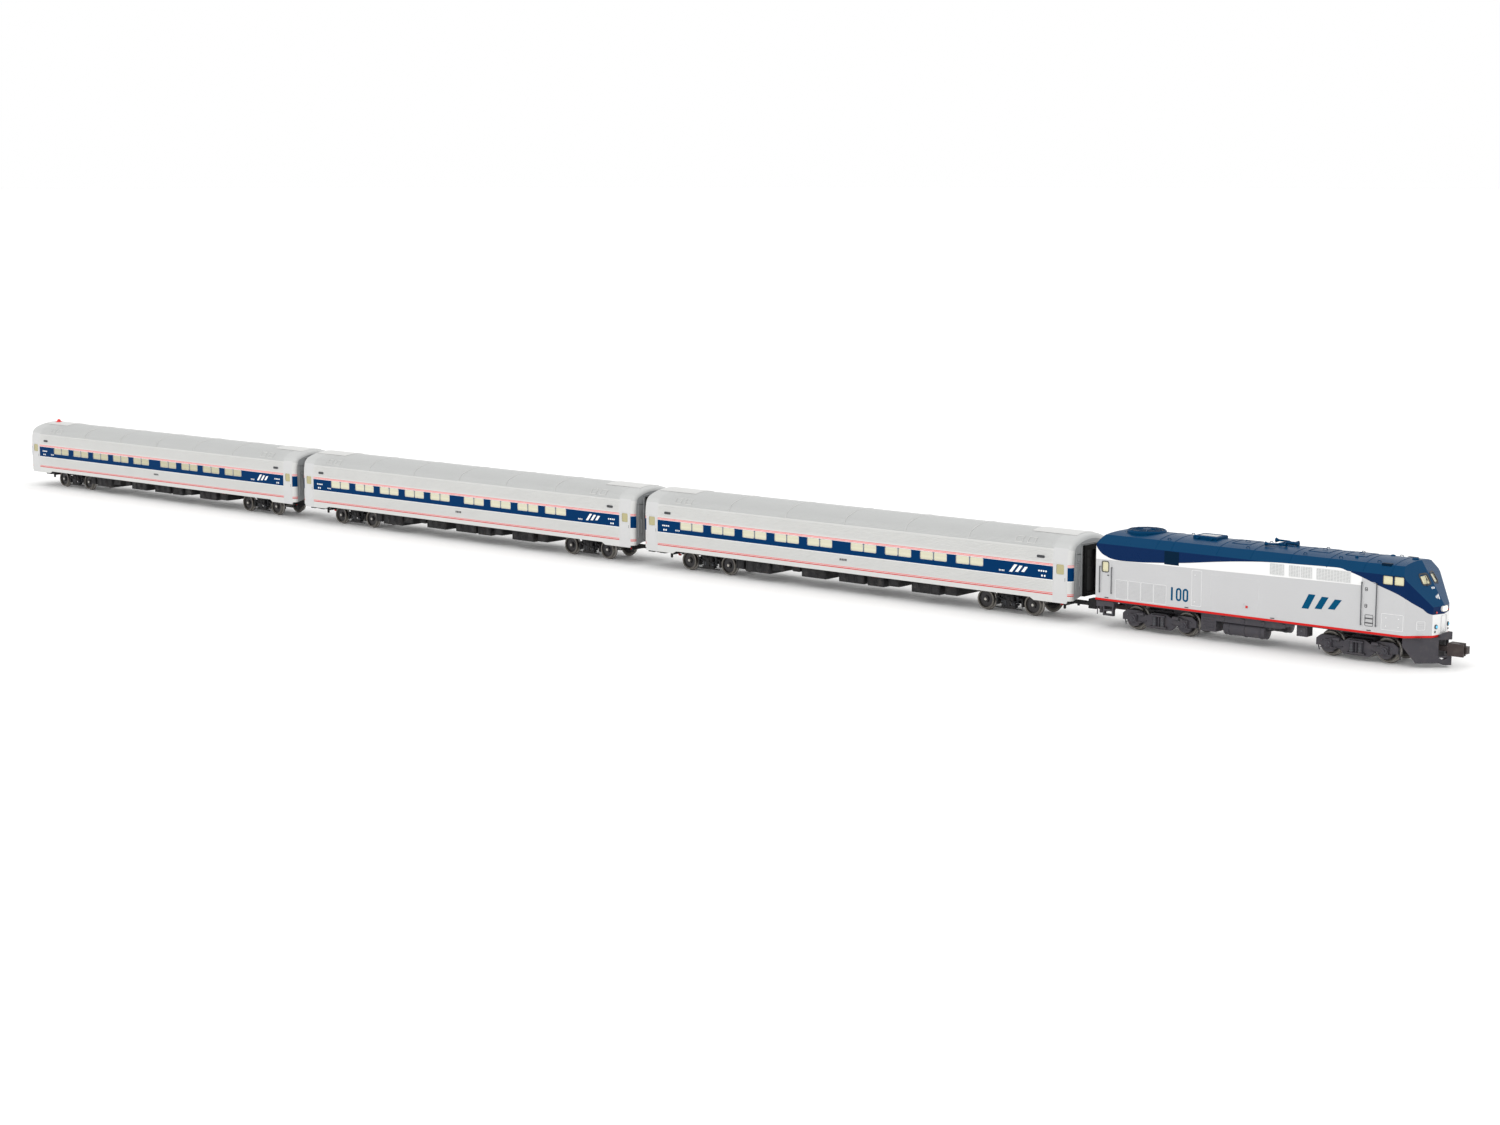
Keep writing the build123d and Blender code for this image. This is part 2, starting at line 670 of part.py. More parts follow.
def exhaust_hatch():
    """Raised rectangular hatch with a recessed centre over the engine."""
    body = loco_form(0, LOCO_BOTTOM)
    with BuildPart() as hatch:
        block((88, 112), (-10, 10), (LOCO_ROOF - 4, LOCO_ROOF + 2.4))
        chamfer(hatch.edges().group_by(Axis.Z)[-1], 0.8)
        block((90, 110), (-6, 6), (LOCO_ROOF + 1.4, LOCO_ROOF + 3), mode=Mode.SUBTRACT)
        add(body, mode=Mode.SUBTRACT)
    return hatch.part


def roof_horn():
    """Air horn: three trumpets of different length on a foot, bells forward and back."""
    body = loco_form(0, LOCO_BOTTOM)
    horn_z = LOCO_ROOF + 1.7
    with BuildPart() as horn:
        block((164, 178), (3, 17), (LOCO_ROOF - 4, LOCO_ROOF + 0.5))
        for y, reach in ((5.0, 13.0), (10.0, 10.0), (15.0, -12.0)):
            facing = 1 if reach > 0 else -1
            block((170, 172), (y - 1, y + 1), (LOCO_ROOF - 1, horn_z))
            with Locations(Location((171 + reach / 2, y, horn_z), (0, 90 * facing, 0))):
                Cone(0.7, 1.0, abs(reach))
            with Locations(Location((171 + reach, y, horn_z), (0, 90 * facing, 0))):
                Cone(1.0, 2.2, 3.0)
        add(body, mode=Mode.SUBTRACT)
    return horn.part


def loco_handrails():
    """Upright rods beside the doors, each with a bent foot at both ends."""
    face = LOCO_WIDTH / 2
    rods = []
    for side in (1, -1):
        for x, low, high in RAIL_RODS:
            with BuildPart() as rod:
                post(x, side * (face + 1.1), (RAIL_Z + low, RAIL_Z + high), 0.45)
                for z in (low + 0.6, high - 0.6):
                    block((x - 0.4, x + 0.4), (side * face, side * (face + 1.1)),
                          (RAIL_Z + z - 0.4, RAIL_Z + z + 0.4))
            rods.append(rod.part)
    return Compound(children=rods)


# ---------------------------------------------------------------- locomotive frame
def step_ladder(side):
    """Open three-rung step well under the rear door."""
    y = (side * 27.0, side * 30.6)
    block((7.5, 18.5), y, (RAIL_Z + 11.0, LOCO_FLOOR[0]))
    block((9.0, 17.0), y, (RAIL_Z + 12.6, RAIL_Z + 15.4), mode=Mode.SUBTRACT)
    block((9.0, 17.0), y, (RAIL_Z + 17.0, RAIL_Z + 19.8), mode=Mode.SUBTRACT)


def loco_frame():
    """Floor with end plate, step wells, centre sill, air tanks and equipment boxes."""
    half = LOCO_WIDTH / 2 - LOCO_WALL - 0.25
    centre = LOCO_TRUCK_X
    with BuildPart() as frame:
        block((LOCO_WALL + 0.3, 300), (-half, half), LOCO_FLOOR)
        block((0.4, 3.0), (-25, 25), (RAIL_Z + 12.0, LOCO_FLOOR[0]))
        block((0, 4), (-8.5, 8.5), (COUPLER_Z - 3.0, COUPLER_Z + 2.8), mode=Mode.SUBTRACT)
        for side in (1, -1):
            block((0.4, 19.0), (side * 23, side * 30.6), (RAIL_Z + 19.0, LOCO_FLOOR[0]))
            step_ladder(side)
            with Locations(Location((151.5, side * 21, RAIL_Z + 13.0), (0, 90, 0))):
                Cylinder(6.4, 41.0)
            block((109, 124), (side * 10, side * 28), (RAIL_Z + 8.5, LOCO_FLOOR[0]))
            block((204, 214), (side * 18, side * 28), (RAIL_Z + 14.5, LOCO_FLOOR[0]))
        with BuildSketch(Plane.XZ):
            with BuildLine():
                Polyline(
                    (109, LOCO_FLOOR[0]), (109, RAIL_Z + 18.5), (188, RAIL_Z + 18.5),
                    (204, LOCO_FLOOR[0]), close=True,
                )
            make_face()
        extrude(amount=28, both=True)
        block((REAR_PIVOT_X - 5, REAR_PIVOT_X + 5), (-5, 5), (COUPLER_Z + 2.2, LOCO_FLOOR[0]))
        post(REAR_PIVOT_X, 0, (COUPLER_Z - 3.2, COUPLER_Z + 3.0), BAR_PIN)
        for x in centre.values():
            post(x, 0, (RAIL_Z, LOCO_FLOOR[1]), LOCO_PIVOT + RUN_CLEARANCE, Mode.SUBTRACT)
        block((centre["rear"] + MOUNT_SLOT[0], centre["rear"] + MOUNT_SLOT[1]), (-13, 13),
              LOCO_FLOOR, mode=Mode.SUBTRACT)
        for x, y in SCREWS:
            post(x, y, (SCREW_SEAT, LOCO_FLOOR[1]), SCREW_RADIUS + RUN_CLEARANCE, Mode.SUBTRACT)
            post(x, y, (RAIL_Z + 18, SCREW_SEAT), 2.4, Mode.SUBTRACT)
    return frame.part


def shell_screws():
    """Four pan-head screws that hold the shell down through the floor."""
    screws = []
    for x, y in SCREWS:
        with BuildPart() as screw:
            post(x, y, (SCREW_SEAT, SCREW_TOP), SCREW_RADIUS)
            post(x, y, (SCREW_SEAT - 1.4, SCREW_SEAT), 2.1)
            block((x - 2.2, x + 2.2), (y - 0.25, y + 0.25), (SCREW_SEAT - 1.4, SCREW_SEAT - 0.9),
                  mode=Mode.SUBTRACT)
        screws.append(screw.part)
    return Compound(children=screws)


def pilot_outline(inset):
    """Plan view of the pilot: it follows the taper of the nose and comes to a blunt point."""
    half = PILOT_HALF
    with BuildSketch() as outline:
        with BuildLine():
            Polyline(
                (PILOT_BACK, -half), (NOSE_TAPER_END, -NOSE_HALF), (PILOT_TIP, 0),
                (NOSE_TAPER_END, NOSE_HALF), (PILOT_BACK, half), close=True,
            )
        make_face()
        if inset:
            offset(amount=-inset, kind=Kind.INTERSECTION)
    return outline.sketch


def pilot_blade():
    """Blade at the tip: it stands up in front of the nose, with a round top and a blunt foot."""
    outside = pilot_outline(0)
    inside = pilot_outline(2.0)
    with BuildPart() as blade:
        with BuildSketch(Plane.XY):
            add(outside)
            add(inside, mode=Mode.SUBTRACT)
        extrude(amount=BLADE_TOP + 1)
        with BuildSketch(Plane.YZ.offset(PILOT_BACK + 14)):
            with BuildLine():
                foot = Polyline(
                    (BLADE_HALF, BLADE_SHOULDER), (BLADE_HALF, PILOT_BOTTOM), (4, BLADE_BOTTOM),
                    (-4, BLADE_BOTTOM), (-BLADE_HALF, PILOT_BOTTOM), (-BLADE_HALF, BLADE_SHOULDER),
                )
                ThreePointArc(foot @ 1, (0, BLADE_TOP), foot @ 0)
            make_face()
        extrude(amount=PILOT_TIP, mode=Mode.INTERSECT)
    return blade.part


def loco_pilot():
    """Plough under the nose: top plate, side plates and a pierced blade around the coupler."""
    top = LOCO_BOTTOM - 0.1
    slot_z = (PILOT_SLOT_Z, top - 2.0)
    outside = pilot_outline(0)
    inside = pilot_outline(2.0)
    blade = pilot_blade()
    with BuildPart() as pilot:
        with BuildSketch(Plane.XY.offset(PILOT_BOTTOM)):
            add(outside)
        extrude(amount=top - PILOT_BOTTOM)
        with BuildSketch(Plane.XY.offset(PILOT_BOTTOM - 1)):
            add(inside)
        extrude(amount=top - 1 - PILOT_BOTTOM, mode=Mode.SUBTRACT)
        block((0, PILOT_BACK + 2.1), (-PILOT_HALF + 4, PILOT_HALF - 4), (0, top - 2),
              mode=Mode.SUBTRACT)
        with BuildSketch(Plane.XZ):
            with BuildLine():
                Polyline(
                    (PILOT_BACK - 1, 0), (PILOT_BACK + 9, 0), (PILOT_BACK + 9, PILOT_BOTTOM),
                    (PILOT_BACK - 1, RAIL_Z + 19), close=True,
                )
            make_face()
        extrude(amount=LOCO_WIDTH, both=True, mode=Mode.SUBTRACT)
        add(blade)
        block((FRONT_PIVOT_X, PILOT_TIP + 5), (-9.5, 9.5), slot_z, mode=Mode.SUBTRACT)
        for side in (1, -1):
            with BuildSketch(Plane.YZ.offset(NOSE_TAPER_END - 6)):
                with BuildLine():
                    Polyline(
                        (side * 2.5, PILOT_SLOT_Z - 1.4), (side * 9.0, PILOT_SLOT_Z - 1.4),
                        (side * 5.5, PILOT_BOTTOM + 2.2), close=True,
                    )
                make_face()
            extrude(amount=20, mode=Mode.SUBTRACT)
        block((FRONT_PIVOT_X - 5, FRONT_PIVOT_X + 5), (-5, 5), (COUPLER_Z + 2.2, top))
        post(FRONT_PIVOT_X, 0, (COUPLER_Z - 3.2, COUPLER_Z + 3.0), BAR_PIN)
    return pilot.part


def loco_truck(x, driven):
    """Cast truck: outside frames with axle boxes, inside bearing beams, bolster and pivot."""
    axle_z = RAIL_Z + LOCO_WHEEL
    half_base = LOCO_WHEELBASE / 2
    upper = (
        (-38.5, 8.5), (-38.5, 14.5), (-34.0, 18.0), (-19.5, 18.0), (-13.0, 14.5), (-7.0, 17.5),
        (7.0, 17.5), (13.0, 14.5), (19.5, 18.0), (34.0, 18.0), (38.5, 14.5), (38.5, 8.5),
        (18.0, 8.5), (12.0, 3.5), (-12.0, 3.5), (-18.0, 8.5),
    )
    mid_y = sum(BEAM_Y) / 2
    with BuildPart() as truck:
        for side in (1, -1):
            with BuildSketch(Plane.XZ.offset(side * sum(FRAME_Y) / 2)):
                with BuildLine():
                    Polyline(*[(x + along, RAIL_Z + up) for along, up in upper], close=True)
                make_face()
                with Locations((x - half_base, axle_z), (x + half_base, axle_z)):
                    Circle(7.4)
            extrude(amount=(FRAME_Y[1] - FRAME_Y[0]) / 2, both=True)
            for axle in (-1, 1):
                block((x + axle * half_base - 3.6, x + axle * half_base + 3.6),
                      (side * FRAME_Y[1], side * (FRAME_Y[1] + 1.6)),
                      (axle_z - 3.4, axle_z + 4.2))
            for spring in (-4.0, 4.0):
                post(x + spring, side * (FRAME_Y[1] + 0.4), (RAIL_Z + 6.0, RAIL_Z + 15.0), 2.2)
            block((x - 34, x + 34), (side * BEAM_Y[0], side * BEAM_Y[1]),
                  (axle_z - 3.5, axle_z + 3.5))
            block((x - 9, x + 9), (side * 9, side * FRAME_Y[1]), (RAIL_Z + 12.0, RAIL_Z + 17.0))
        block((x - 11, x + 11), (-mid_y, mid_y), (RAIL_Z + 13.0, RAIL_Z + 18.5))
        post(x, 0, (RAIL_Z + 13.0, LOCO_FLOOR[1] + 1.0), LOCO_PIVOT)
        post(x, 0, (RAIL_Z + 18.0, LOCO_FLOOR[0] - 0.4), LOCO_PIVOT + 3.5)
        for axle in (-1, 1):
            crossbar(x + axle * half_base, axle_z, AXLE_RADIUS + RUN_CLEARANCE,
                     BEAM_Y[1] + 1, Mode.SUBTRACT)
        if driven:
            shaft_x = x + MOTOR_X
            block((x + 8, shaft_x + 8), (-8, 8), (RAIL_Z + 20.5, MOTOR_Z[0]))
            block((x + 8, shaft_x + 8), (-8, -mid_y), (RAIL_Z + 13.5, RAIL_Z + 22))
            block((x + 8, shaft_x + 8), (8, mid_y), (RAIL_Z + 13.5, RAIL_Z + 22))
            block((x + 8, x + 11), (-mid_y, mid_y), (RAIL_Z + 13.0, RAIL_Z + 22))
            post(shaft_x, 0, (RAIL_Z + 19, MOTOR_Z[0]), SHAFT_RADIUS + RUN_CLEARANCE,
                 Mode.SUBTRACT)
            post(shaft_x, 0, (RAIL_Z + 5, RAIL_Z + 20.5), WORM_RADIUS + 0.6, Mode.SUBTRACT)
        else:
            pivot_x = x + PICKUP_PIVOT[0]
            for side in (1, -1):
                block((pivot_x - 2, pivot_x + 2), (side * 3.2, side * 5.2),
                      (PICKUP_PIVOT[1] - 2, RAIL_Z + 14))
            crossbar(pivot_x, PICKUP_PIVOT[1], 0.8, 5.2)
    return truck.part


def drive_motor():
    """Motor can on the rear truck, with its end bell, a shaft hole and two brush tabs."""
    x = LOCO_TRUCK_X["rear"] + MOTOR_X
    with BuildPart() as motor:
        post(x, 0, MOTOR_Z, MOTOR_RADIUS)
        chamfer(motor.edges().filter_by(GeomType.CIRCLE), 0.8)
        post(x, 0, (MOTOR_Z[1], MOTOR_Z[1] + 1.5), 3.5)
        for side in (1, -1):
            block((x - 0.3, x + 0.3), (side * 6, side * 8.5), (MOTOR_Z[1], MOTOR_Z[1] + 4))
        post(x, 0, (MOTOR_Z[0], MOTOR_Z[0] + 12), SHAFT_RADIUS + RUN_CLEARANCE, Mode.SUBTRACT)
    return motor.part


def motor_shaft():
    """Shaft with the worm: a core with a one-start thread beside the worm wheel."""
    x = LOCO_TRUCK_X["rear"] + MOTOR_X
    axle_z = RAIL_Z + LOCO_WHEEL
    thread_low = axle_z - 2 * WORM_PITCH
    root = WORM_RADIUS - 0.9
    with BuildPart() as shaft:
        post(x, 0, (axle_z + 5.0, MOTOR_Z[0] + 11), SHAFT_RADIUS)
        post(x, 0, (thread_low - 1.0, axle_z + 5.2), root)
        helix = Helix(WORM_PITCH, 4 * WORM_PITCH, root - 0.1, center=(x, 0, thread_low))
        with BuildSketch(Plane(origin=helix @ 0, z_dir=helix % 0, x_dir=(1, 0, 0))):
            with Locations((0.5, 0)):
                Rectangle(1.0, 0.7)
        sweep(path=helix, is_frenet=True)
    return shaft.part


def pickup_arm():
    """Sprung lever that presses the roller on the middle rail."""
    x = LOCO_TRUCK_X["front"]
    pivot_x, pivot_z = x + PICKUP_PIVOT[0], PICKUP_PIVOT[1]
    roller_z = RAIL_Z + ROLLER_RADIUS
    with BuildPart() as arm:
        crossbar(pivot_x, pivot_z, 1.9, 2.8)
        for side in (1, -1):
            with BuildSketch(Plane.XZ.offset(side * 6.6)):
                with BuildLine():
                    Polyline(
                        (x + ROLLER_X - 5.5, pivot_z + 1.2), (x + ROLLER_X + 1.5, roller_z + 1.5),
                        (x + ROLLER_X + 1.5, roller_z - 1.5), (x + ROLLER_X - 5.5, pivot_z - 1.6),
                        close=True,
                    )
                make_face()
            extrude(amount=0.5, both=True)
        block((x + ROLLER_X - 5.5, x + ROLLER_X - 4.0), (-7.1, 7.1), (pivot_z - 1.2, pivot_z + 1.2))
        block((pivot_x, x + ROLLER_X - 4.5), (-2.8, 2.8), (pivot_z - 1.0, pivot_z + 1.2))
        crossbar(pivot_x, pivot_z, 0.8 + RUN_CLEARANCE, 4, Mode.SUBTRACT)
        crossbar(x + ROLLER_X, roller_z, 0.7, 7.1)
    return arm.part


def pickup_roller():
    """Roller that runs on the middle rail, with a rim at each end."""
    x = LOCO_TRUCK_X["front"] + ROLLER_X
    z = RAIL_Z + ROLLER_RADIUS
    with BuildPart() as roller:
        crossbar(x, z, ROLLER_RADIUS, 5.6)
        chamfer(roller.edges().filter_by(GeomType.CIRCLE), 0.4)
        crossbar(x, z, 0.7 + RUN_CLEARANCE, 8, Mode.SUBTRACT)
    return roller.part


def front_coupler():
    """Coupler bar on the pilot's pin, with the open head at its end."""
    bar_z = (COUPLER_Z - 2.2, COUPLER_Z + 2.0)
    with BuildPart() as coupler:
        post(FRONT_PIVOT_X, 0, bar_z, 4.0)
        block((FRONT_PIVOT_X, FRONT_REACH - HEAD_BACK + 1), (-2.6, 2.6), bar_z)
        open_head(FRONT_REACH, 1, FRONT_HEAD_HALF_Z)
        post(FRONT_PIVOT_X, 0, (bar_z[0] - 1, bar_z[1] + 1), BAR_PIN + RUN_CLEARANCE,
             Mode.SUBTRACT)
    return coupler.part


def rear_coupler():
    """Coupler bar on the frame's pin, with the pin head that pulls the first coach."""
    bar_z = (COUPLER_Z - 2.2, COUPLER_Z + 2.0)
    link_x = -LOCO_GAP / 2
    with BuildPart() as coupler:
        post(REAR_PIVOT_X, 0, bar_z, 4.0)
        block((REAR_PIVOT_X, link_x + 11), (-2.6, 2.6), bar_z)
        pin_head(link_x, -1)
        post(REAR_PIVOT_X, 0, (bar_z[0] - 1, bar_z[1] + 1), BAR_PIN + RUN_CLEARANCE,
             Mode.SUBTRACT)
    return coupler.part


def circuit_board():
    """Board on two posts over the middle of the floor, with its larger components."""
    board_z = (RAIL_Z + 44.0, RAIL_Z + 45.6)
    with BuildPart() as board:
        block((130, 210), (-19, 19), board_z)
        for x in (136, 204):
            post(x, 0, (LOCO_FLOOR[1], board_z[0]), 3.0)
        for x, y, length, width, height in (
            (140, -8, 14, 14, 3.0), (162, 6, 10, 8, 8.0), (178, -6, 16, 10, 5.0),
            (196, 8, 8, 8, 11.0),
        ):
            block((x, x + length), (y - width / 2, y + width / 2),
                  (board_z[1], board_z[1] + height))
        post(152, 12, (board_z[1], board_z[1] + 13), 4.0)
    return board.part


def speaker():
    """Round loudspeaker with its magnet, lying on the floor behind the cab."""
    with BuildPart() as cone:
        post(235, 0, (LOCO_FLOOR[1], LOCO_FLOOR[1] + 9), 13.0)
        post(235, 0, (LOCO_FLOOR[1] + 9, LOCO_FLOOR[1] + 13), 7.5)
        chamfer(cone.edges().group_by(Axis.Z)[-1], 0.8)
    return cone.part


# ---------------------------------------------------------------- the train
def build_loco():
    """Every piece of the locomotive."""
    for label, maker in (
        ("loco_shell", loco_shell),
        ("loco_windows", loco_windows),
        ("loco_frame", loco_frame),
        ("loco_pilot", loco_pilot),
        ("headlight_lens", headlight_lens),
        ("roof_fan", roof_fan),
        ("exhaust_hatch", exhaust_hatch),
        ("roof_horn", roof_horn),
        ("loco_handrails", loco_handrails),
        ("shell_screws", shell_screws),
        ("circuit_board", circuit_board),
        ("speaker", speaker),
        ("drive_motor", drive_motor),
        ("motor_shaft", motor_shaft),
        ("pickup_arm", pickup_arm),
        ("pickup_roller", pickup_roller),
        ("front_coupler", front_coupler),
        ("rear_coupler", rear_coupler),
    ):
        save(maker(), label, LOCO_X)
    save(knuckle(FRONT_REACH, 1, FRONT_HEAD_HALF_Z), "front_knuckle", LOCO_X)
    for end, x in LOCO_TRUCK_X.items():
        save(loco_truck(x, end == "rear"), f"loco_{end}_truck", LOCO_X)
        for place, side in (("front", 1), ("back", -1)):
            geared = end == "rear" and place == "front"
            axle_x = x + side * LOCO_WHEELBASE / 2
            save(wheelset(axle_x, LOCO_WHEEL, geared), f"loco_{end}_truck_{place}_axle", LOCO_X)


def build_coaches():
    """Three coaches from one set of pieces; the last ends in an open head and a tail lamp."""
    overhang = COACH_LENGTH / 2 - COACH_TRUCK_X
    common = {
        "shell": coach_shell(),
        "windows": coach_windows(),
        "underframe": coach_underframe(),
        "diaphragms": coach_diaphragms(),
        "interior": coach_interior(),
    }
    for end, truck_x in (("front", COACH_TRUCK_X), ("rear", -COACH_TRUCK_X)):
        for place, side in (("front", 1), ("back", -1)):
            axle_x = truck_x + side * COACH_WHEELBASE / 2
            common[f"{end}_truck_{place}_axle"] = wheelset(axle_x, COACH_WHEEL)
    for number in range(1, COACH_COUNT + 1):
        x = COACH_1_X - (number - 1) * COACH_PITCH
        front_gap = LOCO_GAP / 2 if number == 1 else HALF_GAP
        rear_gap, rear_head = HALF_GAP, pin_head
        if number == COACH_COUNT:
            rear_gap, rear_head = TAIL_REACH, tail_head
        pieces = common | {
            "front_truck": coach_truck(COACH_TRUCK_X, 1, eye_head, overhang + front_gap),
            "rear_truck": coach_truck(-COACH_TRUCK_X, -1, rear_head, overhang + rear_gap),
        }
        for label, piece in pieces.items():
            save(piece, f"coach{number}_{label}", x)
    tail_tip = -COACH_LENGTH / 2 - TAIL_REACH
    save(knuckle(tail_tip, -1, TAIL_HEAD_HALF_Z), f"coach{COACH_COUNT}_rear_knuckle", x)
    save(marker_lamp(), "marker_lamp", x)


build_loco()
build_coaches()
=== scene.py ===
from math import atan2, cos, pi, radians, sin, sqrt, tau

import bmesh
import bpy
from mathutils import Matrix, Vector


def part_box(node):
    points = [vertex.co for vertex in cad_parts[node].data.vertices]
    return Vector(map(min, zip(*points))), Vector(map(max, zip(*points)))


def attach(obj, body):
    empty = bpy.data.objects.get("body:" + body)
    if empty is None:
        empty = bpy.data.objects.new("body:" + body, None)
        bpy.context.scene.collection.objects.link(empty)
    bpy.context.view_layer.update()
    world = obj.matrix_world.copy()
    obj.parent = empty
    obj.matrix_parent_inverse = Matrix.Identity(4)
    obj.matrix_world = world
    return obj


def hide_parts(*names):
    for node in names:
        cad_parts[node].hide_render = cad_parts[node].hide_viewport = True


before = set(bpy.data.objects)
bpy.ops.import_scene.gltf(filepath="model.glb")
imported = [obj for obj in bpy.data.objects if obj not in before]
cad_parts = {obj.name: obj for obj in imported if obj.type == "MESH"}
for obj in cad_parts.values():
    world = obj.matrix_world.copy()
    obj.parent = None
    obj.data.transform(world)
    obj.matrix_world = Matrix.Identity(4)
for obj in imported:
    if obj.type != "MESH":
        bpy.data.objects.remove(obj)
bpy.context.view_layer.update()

# Lengths below are in millimetres and turn into metres in the helpers. Each vehicle is drawn
# about its own origin, as in the CAD: a coach about its middle, the locomotive from the back
# of its shell. Heights named "rail" are above the rail head.
MM = 0.001
RAIL = 1.3
COACHES = (1, 2, 3)


def rails(low, high):
    """Two heights above the rail as heights above the floor."""
    return RAIL + low, RAIL + high


def middle(node):
    low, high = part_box(node)
    return (low + high) / 2


COACH_X = {n: middle(f"coach{n}_shell").x / MM for n in COACHES}
LOCO_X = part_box("loco_shell")[0].x / MM


# ---------------------------------------------------------------- materials
def srgb(red, green, blue):
    """A display colour, 0 to 255, as linear RGBA."""
    linear = [c / 255 / 12.92 if c < 10 else ((c / 255 + 0.055) / 1.055) ** 2.4
              for c in (red, green, blue)]
    return (*linear, 1.0)


def shade(colour, factor):
    return tuple(min(1.0, c * factor) for c in colour[:3]) + (1.0,)


class Recipe:
    """One material's node tree, with short names for the nodes it needs."""

    def __init__(self, name, metallic=0.0, coat=0.0, specular=0.5, coordinates="Object"):
        self.material = bpy.data.materials.new(name)
        self.material.use_nodes = True
        self.tree = self.material.node_tree
        self.tree.nodes.clear()
        self.shader = self.node("ShaderNodeBsdfPrincipled")
        self.shader.inputs["Metallic"].default_value = metallic
        self.shader.inputs["Coat Weight"].default_value = coat
        self.shader.inputs["Specular IOR Level"].default_value = specular
        self.shader.inputs["Coat Roughness"].default_value = 0.12
        out = self.node("ShaderNodeOutputMaterial")
        self.tree.links.new(self.shader.outputs[0], out.inputs[0])
        self.where = self.node("ShaderNodeTexCoord").outputs[coordinates]

    def node(self, kind, **settings):
        made = self.tree.nodes.new(kind)
        for key, value in settings.items():
            setattr(made, key, value)
        return made

    def feed(self, socket, value):
        if isinstance(value, bpy.types.NodeSocket):
            self.tree.links.new(value, socket)
        else:
            socket.default_value = value

    def math(self, operation, first, second=0.0, clamp=False):
        made = self.node("ShaderNodeMath", operation=operation, use_clamp=clamp)
        self.feed(made.inputs[0], first)
        self.feed(made.inputs[1], second)
        return made.outputs[0]

    def mix(self, share, first, second):
        made = self.node("ShaderNodeMix", data_type="RGBA")
        self.feed(made.inputs[0], share)
        self.feed(made.inputs[6], first)
        self.feed(made.inputs[7], second)
        return made.outputs[2]

    def noise(self, size_mm, detail=3.0, stretch=(1, 1, 1)):
        """Noise from 0 to 1 with features of about that size."""
        place = self.node("ShaderNodeMapping")
        place.inputs["Scale"].default_value = stretch
        self.feed(place.inputs[0], self.where)
        made = self.node("ShaderNodeTexNoise")
        self.feed(made.inputs["Vector"], place.outputs[0])
        made.inputs["Scale"].default_value = 1 / (size_mm * MM)
        made.inputs["Detail"].default_value = detail
        return made.outputs["Fac"]

    def range(self, value, low, high, out_low, out_high):
        made = self.node("ShaderNodeMapRange")
        for socket, number in zip(made.inputs[1:5], (low, high, out_low, out_high)):
            socket.default_value = number
        self.feed(made.inputs[0], value)
        return made.outputs[0]

    def axes(self, scale=1 / MM):
        """Object coordinates as three numbers in millimetres."""
        apart = self.node("ShaderNodeSeparateXYZ")
        self.feed(apart.inputs[0], self.where)
        return [self.math("MULTIPLY", out, scale) for out in apart.outputs]

    def surface(self, colour, rough, grain_mm=0.5, bump=0.05, mottle=0.06, dirt=0.0):
        """Colour, roughness and bump, each broken up by noise at its own scale."""
        wide = self.noise(22, 4)
        fine = self.noise(grain_mm, 2)
        darker = self.node("ShaderNodeMix", data_type="RGBA", blend_type="MULTIPLY")
        darker.inputs[0].default_value = 1.0
        self.feed(darker.inputs[6], colour)
        tint = self.mix(wide, (1 - mottle,) * 3 + (1,), (1.0, 1.0, 1.0, 1.0))
        self.feed(darker.inputs[7], tint)
        shown = darker.outputs[2]
        if dirt:
            dust = self.range(self.noise(7, 5), 0.5, 0.75, 0.0, dirt)
            shown = self.mix(dust, shown, srgb(128, 120, 112))
        self.feed(self.shader.inputs["Base Color"], shown)
        rough_noise = self.range(self.math("ADD", wide, fine), 0.6, 1.4, rough - 0.06, rough + 0.08)
        self.feed(self.shader.inputs["Roughness"], rough_noise)
        raised = self.node("ShaderNodeBump")
        raised.inputs["Strength"].default_value = bump
        raised.inputs["Distance"].default_value = 0.0002
        self.feed(raised.inputs["Height"], fine)
        self.feed(self.shader.inputs["Normal"], raised.outputs[0])
        return self.material


def satin(name, colour, rough=0.45, metallic=0.0, coat=0.0, specular=0.5, **kept):
    return Recipe(name, metallic, coat, specular).surface(colour, rough, **kept)


SILVER = srgb(212, 212, 210)
PALE = srgb(206, 206, 206)
BLUE = srgb(0, 50, 96)
LOCO_BLUE = srgb(0, 60, 98)
RED = srgb(205, 36, 34)
PINK = srgb(226, 120, 118)
WHITE = srgb(250, 250, 250)
CHARCOAL = srgb(66, 64, 70)

coach_silver = satin("coach_silver", SILVER, 0.38, 0.25, bump=0.12, grain_mm=0.35)
coach_roof = satin("coach_roof", srgb(196, 197, 196), 0.45, 0.2, bump=0.15, grain_mm=0.4)
coach_door = satin("coach_door", PALE, 0.34, 0.1, bump=0.08)
coach_grey = satin("coach_end_grey", srgb(150, 152, 153), 0.5, 0.1, bump=0.15)
coach_inside = satin("coach_inside", srgb(120, 122, 124), 0.7)
band_blue = satin("coach_band_blue", BLUE, 0.4, specular=0.03, bump=0.06)
stripe_pink = satin("stripe_pink", PINK, 0.35, specular=0.3, bump=0.06)
stripe_red = satin("stripe_red", RED, 0.35, specular=0.25, bump=0.06)
line_white = satin("line_white", WHITE, 0.35, coat=0.1, bump=0.06)
underbody = satin("underbody_black", srgb(34, 34, 36), 0.55, specular=0.3, bump=0.35, dirt=0.15)
rubber = satin("gangway_rubber", srgb(12, 12, 13), 0.75, specular=0.15, bump=0.3, grain_mm=0.8)
loco_dark = satin("loco_charcoal", CHARCOAL, 0.5, 0.1, specular=0.35, bump=0.3, dirt=0.12)
loco_blue = satin("loco_roof_blue", LOCO_BLUE, 0.4, specular=0.05, bump=0.06)
mark_blue = satin("mark_blue", srgb(0, 76, 112), 0.4, specular=0.05, bump=0.04)
